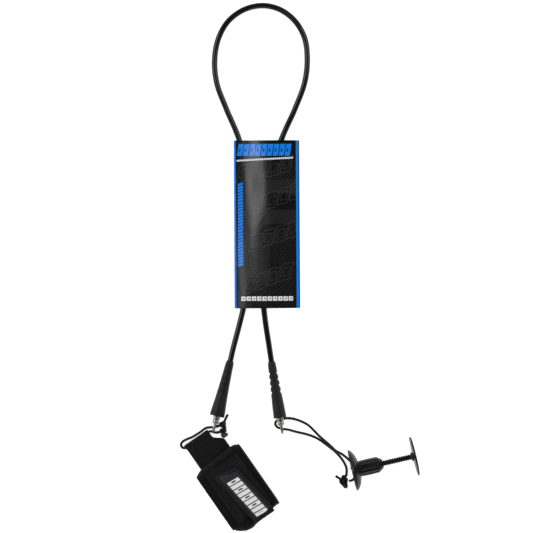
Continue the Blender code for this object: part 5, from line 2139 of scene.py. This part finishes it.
def woven_strap(stations, outline_at, low, high, rows, pitch=(0.0016, 0.00125), serrate=0.00010, relief=None):
    """A flat woven strap in the cuff's frame: ribbed faces and slightly toothed edges."""
    relief = sizes().weave_relief if relief is None else relief

    def edges(station):
        left, right = outline_at(station)
        tooth = serrate * math.sin(TURN * station / (pitch[1] * 2))
        return left - tooth, right + tooth

    rings = slab_rings(edges, stations, low, high, (high - low) / 2, rows)
    out = []
    for station, ring in zip(stations, rings):
        made = []
        for x, z in ring:
            weave = plain_weave(x, station, pitch[0], pitch[1]) * relief
            z += weave if z > (low + high) / 2 + 0.0003 else (
                -weave * 0.3 if z < (low + high) / 2 - 0.0003 else 0.0
            )
            made.append(Vector((x, -station, z)))
        out.append(made)
    return Shell().grid(out)


def even(low, high, step):
    count = max(2, round((high - low) / step))
    return [low + (high - low) * i / count for i in range(count + 1)]


class LEASH_OT_webbing(bpy.types.Operator):
    """Weaves the cuff's tab with its hem and the strap sewn across the pad"""

    bl_idname = "leash.webbing"
    bl_label = "Tab, hem and strap"

    def execute(self, context):
        def tab_edges(station):
            if station <= TAB_CORNER_STARTS:
                return 0.0, HEM_LENGTH
            share = min(1.0, (station - TAB_CORNER_STARTS) / (TAB_CORNER_ENDS - TAB_CORNER_STARTS))
            eased = share * share * (3 - 2 * share)
            return 0.0, HEM_LENGTH + (TAB_WIDTH - HEM_LENGTH) * eased

        tab = woven_strap(even(HEM_ALONG, TAB_END, 0.0004), tab_edges, TAB_BASE, TAB_TOP - 0.0001, 92)
        rings = []
        columns = even(0.0, HEM_LENGTH, 0.0004)
        for x in columns:
            tooth = 0.00006 * math.sin(TURN * x / 0.0016)
            ring = []
            for k in range(HEM_SIDES):
                turn = TURN * k / HEM_SIDES
                weave = plain_weave(x, turn * HEM_RADIUS, 0.0016, 0.00125) * sizes().weave_relief * 0.8
                r = HEM_RADIUS - 0.00004 + weave * 0.5 + tooth * 0.3
                height = HEM_HEIGHT + max(r * math.sin(turn), -HEM_RADIUS + 0.0001)
                ring.append(Vector((x, -HEM_ALONG + r * math.cos(turn), height)))
            rings.append(ring)
        inner = []
        for x in reversed(columns):
            bore = circle(HEM_BORE, x, HEM_SIDES)
            inner.append([Vector((x, -HEM_ALONG + point.y, HEM_HEIGHT + point.z)) for point in bore])
        tab.add(hoop(rings + inner))
        lap = woven_strap(
            even(0.0046, 0.0112, 0.0004), lambda s: (0.0002, HEM_LENGTH - 0.0002), 0.0022, 0.0034, 72
        )
        for index, point in enumerate(lap.points):
            share = smooth_step(0.0046, 0.0112, -point.y)
            lap.points[index] = Vector((point.x, point.y, point.z + 0.0016 * (1 - share) ** 2 - 0.0001))
        tab.add(lap)
        thing = build("cuff_tab_webbing", tab, webbing_finish(), cuff_frame(), smooth_angle=60)
        fit(thing, "cuff", "tab_webbing", "cuff_tab")

        def line(x0, y0, x1, y1, z):
            return [Vector((x0 + (x1 - x0) * i / 12, -(y0 + (y1 - y0) * i / 12), z)) for i in range(13)]

        runs = [
            line(0.0012, 0.0088, HEM_LENGTH - 0.0012, 0.0088, 0.00355),
            line(0.0012, 0.0104, HEM_LENGTH - 0.0012, 0.0104, 0.0034),
        ]
        runs += [line(0.0022, 0.0135, 0.0022, 0.0300, 0.00245), line(0.0386, 0.0215, 0.0386, 0.0300, 0.00245)]
        fit(stitched("cuff_tab_stitches", runs, cuff_frame(), 0.00026), "cuff", "tab_webbing")

        (left, right), (near, far), (low, high) = STRAP_BOX
        strap = woven_strap(
            even(near, far, 0.0004), lambda s: (left, right), low, high - 0.0001, 100, (0.0015, 0.0012)
        )
        fit(
            build("cuff_strap_webbing", strap, webbing_finish(), cuff_frame(), smooth_angle=60),
            "cuff",
            "tab_webbing",
            "cuff_strap",
        )
        inset = 0.0022
        box = [
            line(left + inset, near + inset, right - inset, near + inset, high + 0.00005),
            line(left + inset, near + inset, left + inset, far - inset, high + 0.00005),
            line(right - inset, near + inset, right - inset, far - inset, high + 0.00005),
        ]
        fit(stitched("cuff_strap_stitches", box, cuff_frame(), 0.00026), "cuff", "tab_webbing")

        (left, right), (near, far), (low, high) = LOOP_PATCH_BOX
        patch = woven_strap(
            even(near, far, 0.0010),
            lambda s: (left, right),
            low,
            high - 0.0003,
            36,
            (0.0009, 0.0009),
            0.00004,
            0.00004,
        )
        base = build("cuff_loop_patch_base", patch, pile_finish(), cuff_frame(), smooth_angle=60)
        fit(base, "cuff", "closure_patch", "cuff_loop_patch")
        corners = [
            Vector((x, -y, high - 0.0003))
            for x, y in (
                (left + 0.001, near + 0.001),
                (right - 0.001, near + 0.001),
                (right - 0.001, far - 0.001),
                (left + 0.001, far - 0.001),
            )
        ]
        pile = grown(
            "cuff_loop_pile", pile_tree(), corners, [], [(3, 2, 1, 0)], cuff_frame(),
            Density=sizes().pile_density, Height=0.0006, Seed=11, Pile=pile_finish(),
        )
        fit(pile, "cuff", "closure_patch")
        return {"FINISHED"}


def flap_edges(margin):
    """(left, right, left reach, right reach) of the flap's plan drawn in by a margin."""
    side = FLAP_WIDTH / 2 - margin
    return -side, side, FLAP_LEFT - margin, FLAP_RIGHT - margin


def flap_panel(margin, start, low, high, corner, crown=0.0, columns=64, rows=150, wave=0.0):
    """A panel of the flap with rounded free corners, slightly pillowed, from start to its free end."""
    left, right, reach_left, reach_right = flap_edges(margin)
    edge = (high - low) / 2
    rings = []
    for i in range(rows + 1):
        share = i / rows
        ring_top, ring_low = [], []
        for k in range(columns + 1):
            u = k / columns
            reach = reach_left + (reach_right - reach_left) * u
            y = start + (reach - start) * share
            squeeze = 0.0
            from_end = reach - y
            if from_end < corner:
                squeeze = corner - math.sqrt(max(0.0, corner**2 - (corner - from_end) ** 2))
            x = (left + squeeze) + (right - left - 2 * squeeze) * u
            rim = min(u, 1 - u) * (right - left)
            soft = min(1.0, rim / edge, max(from_end, 0.0) / edge, (y - start) / edge + 0.0001)
            round_off = edge * (1 - math.sqrt(max(0.0, 1 - (1 - soft) ** 2)))
            lift = crown * math.sin(math.pi * u) + wave * noise.noise(Vector((x * 90, y * 60, 2.0)))
            ring_top.append(Vector((x, y, high - round_off + lift)))
            ring_low.append(Vector((x, y, low + round_off)))
        rings.append(ring_top + list(reversed(ring_low)))
    return Shell().grid(rings)


class LEASH_OT_closure(bpy.types.Operator):
    """Makes the closing flap with its sewn border, hooks and printed panel"""

    bl_idname = "leash.closure"
    bl_label = "Closing flap"

    def execute(self, context):
        half = FLAP_HALF_THICKNESS
        matrix = flap_frame()
        flap = flap_panel(0.0, -0.0009, -half, half, 0.0030, 0.0, 72, 170, 0.00012)
        ridge = []
        inner_left, inner_right, inner_far_left, inner_far_right = flap_edges(BORDER_MIDDLE)
        corner = 0.0022
        plan = [(inner_left, inner_far_left * i / 60 * 0.97) for i in range(61)]
        plan += arc(inner_left + corner, inner_far_left - corner, corner, math.pi, -QUARTER, 9, 1)
        for i in range(1, 30):
            u = i / 30
            x = inner_left + corner + (inner_right - inner_left - 2 * corner) * u
            plan.append((x, inner_far_left + (inner_far_right - inner_far_left) * u))
        plan += arc(inner_right - corner, inner_far_right - corner, corner, QUARTER, -QUARTER, 9, 1)
        plan += [(inner_right, inner_far_right * 0.97 * (1 - i / 60)) for i in range(61)]
        path = [Vector((x, y, half)) for x, y in plan]
        for i, point in enumerate(path):
            before, after = path[max(0, i - 1)], path[min(len(path) - 1, i + 1)]
            heading = (after - before).normalized()
            side = heading.cross(Vector((0, 0, 1)))
            ring = []
            for k in range(16):
                turn = TURN * k / 16
                pucker = 1.0 + 0.10 * math.sin(i * 0.9)
                ring.append(
                    point + side * (0.00125 * math.cos(turn)) + Vector(
                        (0, 0, 0.0004 * pucker * math.sin(turn) + 0.00012)
                    )
                )
            ridge.append(ring)
        flap.add(Shell().grid(ridge), slot=1)
        thing = build("cuff_flap_strap", flap, [flap_finish(), trim_edge_finish()], matrix, smooth_angle=60)
        fit(thing, "cuff_closure", "flap_nylon", "cuff_flap")

        root_along, root_across, root_height = FLAP_ROOT
        half_width = FLAP_WIDTH / 2 - 0.0010
        strip_line = [
            Vector((root_along - 0.0040, PAD_TOP + 0.0002)),
            Vector((root_along - 0.0005, PAD_TOP - 0.0002)),
            Vector((root_along + 0.0017, PAD_TOP + 0.0008)),
            Vector((root_along + 0.0022, PAD_TOP + 0.0026)),
            Vector((root_along + 0.0012, root_height - 0.0008)),
            Vector((root_along, root_height)),
        ]
        smooth = spline_points([Vector((0.0, q.x, q.y)) for q in strip_line], 0.0003)
        rings = []
        for i, point in enumerate(smooth):
            heading = (smooth[min(i + 1, len(smooth) - 1)] - smooth[max(i - 1, 0)]).normalized()
            outward = Vector((0.0, -heading.z, heading.y))
            ring = []
            for side, steps in ((1, range(25)), (-1, range(24, -1, -1))):
                for k in steps:
                    x = half_width * (2 * k / 24 - 1)
                    spot = point + outward * (0.00045 * side)
                    ring.append(Vector((root_across + x, -spot.y, spot.z)))
            rings.append(ring)
        strip = build(
            "cuff_flap_hinge_strip", Shell().grid(rings), flap_finish(), cuff_frame(), smooth_angle=60
        )
        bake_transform(strip)

        stitch_left, stitch_right, far_left, far_right = flap_edges(0.0030)
        run = [Vector((stitch_left, far_left * i / 20, half + 0.00025)) for i in range(1, 20)]
        run += [
            Vector(
                (
                    stitch_left + (stitch_right - stitch_left) * i / 10,
                    far_left + (far_right - far_left) * i / 10,
                    half + 0.00025,
                )
            )
            for i in range(11)
        ]
        run += [Vector((stitch_right, far_right * (1 - i / 20), half + 0.00025)) for i in range(1, 20)]
        fit(stitched("cuff_flap_stitches", [run], matrix, 0.00022), "cuff_closure", "flap_nylon")

        label_low = half + 0.0003
        panel = flap_panel(
            LABEL_MARGIN + 0.0012, 0.0022, label_low - 0.0002, label_low + 0.0007, 0.0016, 0.00025, 72, 150
        )
        fit(
            build("cuff_printed_panel", panel, label_finish(), matrix, smooth_angle=60),
            "cuff_closure",
            "label_print",
            "cuff_label",
        )

        left, right, reach_left, reach_right = flap_edges(HOOK_MARGIN)
        start = reach_right - HOOK_LENGTH
        hook = flap_panel(HOOK_MARGIN, start, -half - 0.0009, -half - 0.0002, 0.0020, 0.0, 24, 30)
        fit(
            build("cuff_hook_base", hook, pile_finish(), matrix, smooth_angle=60),
            "cuff_closure",
            "closure_patch",
            "cuff_hook_patch",
        )
        level = -half - 0.00085
        corners = [
            Vector((left + 0.001, start + 0.001, level)),
            Vector((right - 0.001, start + 0.001, level)),
            Vector((right - 0.001, reach_right - 0.002, level)),
            Vector((left + 0.001, reach_left - 0.003, level)),
        ]
        hooks = grown(
            "cuff_hooks", pile_tree(), corners, [], [(0, 1, 2, 3)], matrix,
            Density=sizes().pile_density, Height=0.0005, Seed=23, Pile=pile_finish(),
        )
        fit(hooks, "cuff_closure", "closure_patch")
        return {"FINISHED"}


@made_once
def trim_edge_finish():
    finish = Finish("Flap border tape", 0.6, Specular_IOR_Level=0.2, Sheen_Weight=0.12, Sheen_Roughness=0.35)
    work = finish.work
    weave = finish.weave(0.5, 0.5)
    # Painted shade: the gaps between yarns get a darker copy of the border tape's colour.
    base = work.blend(weave["Gap"], rgba(colours().flap, 1.9), rgba(colours().flap, 0.8))
    finish.colour(base)
    finish.rough(weave["Height"], 0.15, 0.52)
    finish.bump(weave["Height"], 0.4, 0.00012)
    return finish.material


class LEASH_OT_plug(bpy.types.Operator):
    """Turns the plug's cup with its ribs, its bar and its washer"""

    bl_idname = "leash.plug"
    bl_label = "Plug cup, bar and washer"

    def execute(self, context):
        matrix = plug_frame()
        tip = BORE_RADIUS + 0.0009
        profile = [
            (0.0, DISH_DEPTH),
            (0.0030, DISH_DEPTH),
            (0.0034, DISH_DEPTH - 0.0003),
            (0.0038, DISH_DEPTH),
            (0.0078, DISH_DEPTH),
            (0.0100, 0.0063),
            (0.0120, 0.0054),
            (0.0140, 0.0044),
            (0.0163, 0.0032),
            (0.0185, 0.0020),
            (0.0203, 0.0010),
            (0.0213, 0.0002),
            (0.0220, 0.0),
            (0.0226, 0.0004),
            (FLANGE_RADIUS, 0.0010),
            (0.0223, 0.0021),
            (0.0210, 0.0036),
            (0.0190, 0.0050),
            (0.0166, 0.0063),
            (0.0140, 0.0073),
            (0.0116, 0.0080),
            (0.0098, 0.0084),
            (TUBE_RADIUS + 0.0003, TUBE_START),
            (TUBE_RADIUS, TUBE_START + 0.0006),
            (TUBE_RADIUS, 0.0190),
            (TUBE_RADIUS, TUBE_END),
            (0.0068, 0.0318),
            (0.0056, 0.0334),
            (tip, TIP_END),
            (BORE_RADIUS, TIP_END),
            (BORE_RADIUS, BORE_FLOOR),
            (0.0, BORE_FLOOR),
        ]
        dense = []
        for (r0, a0), (r1, a1) in zip(profile, profile[1:]):
            pieces = max(1, round(math.hypot(r1 - r0, a1 - a0) / 0.0016))
            dense += [(r0 + (r1 - r0) * i / pieces, a0 + (a1 - a0) * i / pieces) for i in range(pieces)]
        dense.append(profile[-1])

        def ripple(turn, radius, along):
            inside_tube = smooth_step(TUBE_START + 0.0002, TUBE_START + 0.0016, along) * (
                1 - smooth_step(TUBE_END - 0.0006, TUBE_END, along)
            )
            if radius < TUBE_RADIUS - 0.0001 or radius > TUBE_RADIUS + 0.0004:
                inside_tube = 0.0
            wave = 0.5 + 0.5 * math.cos(RIB_COUNT * turn)
            return radius + inside_tube * RIB_HEIGHT * wave**1.5

        cup = Shell().grid(lathe(rounded_open(dense, 0.0004), 192, ripple, axis="X"))
        for side in (1, -1):
            boss = [(0.0, 0.0), (0.0021, 0.0), (0.0021, 0.0016), (0.0016, 0.0023), (0.0, 0.0023)]
            ring = Shell().grid(lathe(rounded_open(boss, 0.0003), 32))
            seat = Matrix.Translation((BAR_ALONG, 0, side * 0.0218)) @ (
                Matrix.Rotation(math.pi, 4, "X") if side > 0 else Matrix.Identity(4)
            )
            cup.add(ring.moved(seat))
        thing = build("plug_cup_moulding", cup, plug_finish(), matrix, smooth_angle=38)
        fit(thing, "plug", "plug_plastic", "plug_cup")
        rib_sizes = {"Count": RIB_COUNT, "Ring radius": TUBE_RADIUS + 0.0002, "Rib radius": 0.00042}
        rib_sizes.update({"Length": TUBE_END - TUBE_START - 0.003, "Plastic": plug_finish()})
        ribs = grown(
            "plug_tube_ribs", grip_tree(), [(0, 0, 0), (0.001, 0, 0), (0, 0.001, 0)], [], [(0, 1, 2)],
            matrix, **rib_sizes,
        )
        ribs.data.transform(matrix @ Matrix.Translation(((TUBE_START + TUBE_END) / 2, 0, 0)))
        fit(ribs, "plug", "plug_plastic")

        bar_profile = [
            (0.0, -BAR_REACH + 0.0002),
            (BAR_RADIUS - 0.0002, -BAR_REACH + 0.0002),
            (BAR_RADIUS, -BAR_REACH + 0.0004),
            (BAR_RADIUS, BAR_REACH - 0.0004),
            (BAR_RADIUS - 0.0002, BAR_REACH - 0.0002),
            (0.0, BAR_REACH - 0.0002),
        ]
        bar = Shell().grid(lathe(bar_profile, 48)).moved(Matrix.Translation((BAR_ALONG, 0, 0)))
        fit(build("plug_bar_pin", bar, steel_finish(), matrix), "plug", "stainless", "plug_bar")

        def knurl(turn, radius, along):
            if radius < WASHER_RADIUS - 0.0005:
                return radius
            return radius - 0.00016 * (0.5 - 0.5 * math.cos(20 * turn)) ** 2

        ring_profile = [
            (BORE_RADIUS, WASHER_START),
            (WASHER_RADIUS, WASHER_START),
            (WASHER_RADIUS, WASHER_END),
            (BORE_RADIUS, WASHER_END),
        ]
        washer = hoop(lathe(rounded(ring_profile, 0.0004, 4), 160, knurl, axis="X"))
        fit(build("plug_washer_ring", washer, tie_finish(), matrix), "washer", "tie_plastic", "plug_washer")
        return {"FINISHED"}


def rounded_open(profile, radius):
    """A profile from axis to axis whose inner corners are turned into short arcs."""
    out = [profile[0]]
    for before, here, after in zip(profile, profile[1:], profile[2:]):
        a, b, c = Vector(before), Vector(here), Vector(after)
        ahead, back = c - b, a - b
        if min(ahead.length, back.length) < 1e-9 or abs(ahead.normalized().cross(back.normalized())) < 0.25:
            out.append(here)
            continue
        cut = min(radius, ahead.length * 0.45, back.length * 0.45)
        p, q = b + back.normalized() * cut, b + ahead.normalized() * cut
        for k in range(4):
            t = k / 3
            spot = p * (1 - t) ** 2 + b * (2 * t * (1 - t)) + q * t**2
            out.append((spot.x, spot.y))
    out.append(profile[-1])
    return out


class LEASH_OT_screw(bpy.types.Operator):
    """Cuts the coarse screw and turns its disc"""

    bl_idname = "leash.screw"
    bl_label = "Plug screw and disc"

    def execute(self, context):
        around, rows_per_turn = 64, 18
        rows = round((THREAD_END - SCREW_START) / THREAD_PITCH * rows_per_turn)
        rings = [circle(AXIS_RADIUS, SCREW_START + 0.0001, around)]
        for row in range(rows + 1):
            along = SCREW_START + (THREAD_END - SCREW_START) * row / rows
            fade = smooth_step(0, rows_per_turn, row) * (
                1 - smooth_step(rows - rows_per_turn * 0.6, rows, row)
            )
            ring = []
            for k in range(around):
                share = k / around
                phase = (along / THREAD_PITCH - share) % 1.0
                crest = 1 - abs(2 * phase - 1)
                flank = smooth_step(0.18, 0.78, crest)
                depth = THREAD_DEPTH * (1 - flank * (0.35 + 0.65 * fade))
                radius = SCREW_RADIUS - depth
                if row == 0:
                    radius -= 0.0005
                ring.append(Vector((along, radius * math.cos(TURN * share), radius * math.sin(TURN * share))))
            rings.append(ring)
        shank = SCREW_RADIUS - THREAD_DEPTH / 2
        disc = [
            (shank, THREAD_END + 0.0006),
            (shank, DISC_FACE - 0.0003),
            (shank + 0.0006, DISC_FACE - 0.0002),
            (0.0060, DISC_FACE),
            (0.0085, DISC_FACE),
            (0.0087, DISC_FACE + 0.00025),
            (0.0093, DISC_FACE + 0.00025),
            (0.0095, DISC_FACE),
            (0.0150, DISC_FACE),
            (0.0152, DISC_FACE + 0.00025),
            (0.0158, DISC_FACE + 0.00025),
            (0.0160, DISC_FACE),
            (DISC_RADIUS - 0.0009, DISC_FACE),
            (DISC_RADIUS - 0.0003, DISC_FACE + 0.0003),
            (DISC_RADIUS, (DISC_FACE + DISC_BACK) / 2),
            (DISC_RADIUS - 0.0003, DISC_BACK - 0.0003),
            (DISC_RADIUS - 0.0009, DISC_BACK),
            (0.0190, DISC_BACK),
            (0.0187, DISC_BACK - 0.0003),
            (0.0176, DISC_BACK - 0.0003),
            (0.0173, DISC_BACK),
            (0.0070, DISC_BACK),
            (0.0066, DISC_BACK - 0.0004),
            (0.0, DISC_BACK - 0.0004),
        ]
        for radius, along in rounded_open(disc, 0.0002):
            rings.append(circle(max(radius, AXIS_RADIUS), along, around))
        shell = Shell().grid(rings)
        fit(
            build("plug_screw_moulding", shell, plug_finish(), plug_frame(), smooth_angle=38),
            "screw",
            "plug_plastic",
            "plug_screw",
        )
        return {"FINISHED"}


class LEASH_PT_sidebar(bpy.types.Panel):
    """Lists the leash's pieces and their sizes and colours"""

    bl_idname = "LEASH_PT_sidebar"
    bl_label = "Bodyboard leash"
    bl_space_type = "VIEW_3D"
    bl_region_type = "UI"
    bl_category = "Leash"

    def draw(self, context):
        for operator in PIECES:
            self.layout.operator(operator.bl_idname)
        for group in (context.scene.leash_sizes, context.scene.leash_colours):
            box = self.layout.box()
            for name in group.__annotations__:
                box.prop(group, name)


PIECES = (
    LEASH_OT_stage,
    LEASH_OT_cord,
    LEASH_OT_strings,
    LEASH_OT_horns,
    LEASH_OT_swivels,
    LEASH_OT_card,
    LEASH_OT_pad,
    LEASH_OT_webbing,
    LEASH_OT_closure,
    LEASH_OT_plug,
    LEASH_OT_screw,
)
CLASSES = (LeashSizes, LeashColours, *PIECES, LEASH_PT_sidebar)


def register():
    for cls in CLASSES:
        bpy.utils.register_class(cls)
    bpy.types.Scene.leash_sizes = bpy.props.PointerProperty(type=LeashSizes)
    bpy.types.Scene.leash_colours = bpy.props.PointerProperty(type=LeashColours)


def unregister():
    del bpy.types.Scene.leash_sizes
    del bpy.types.Scene.leash_colours
    for cls in reversed(CLASSES):
        bpy.utils.unregister_class(cls)


def main():
    register()
    for operator in PIECES:
        group, name = operator.bl_idname.split(".")
        getattr(getattr(bpy.ops, group), name)()


if __name__ == "__main__":
    main()
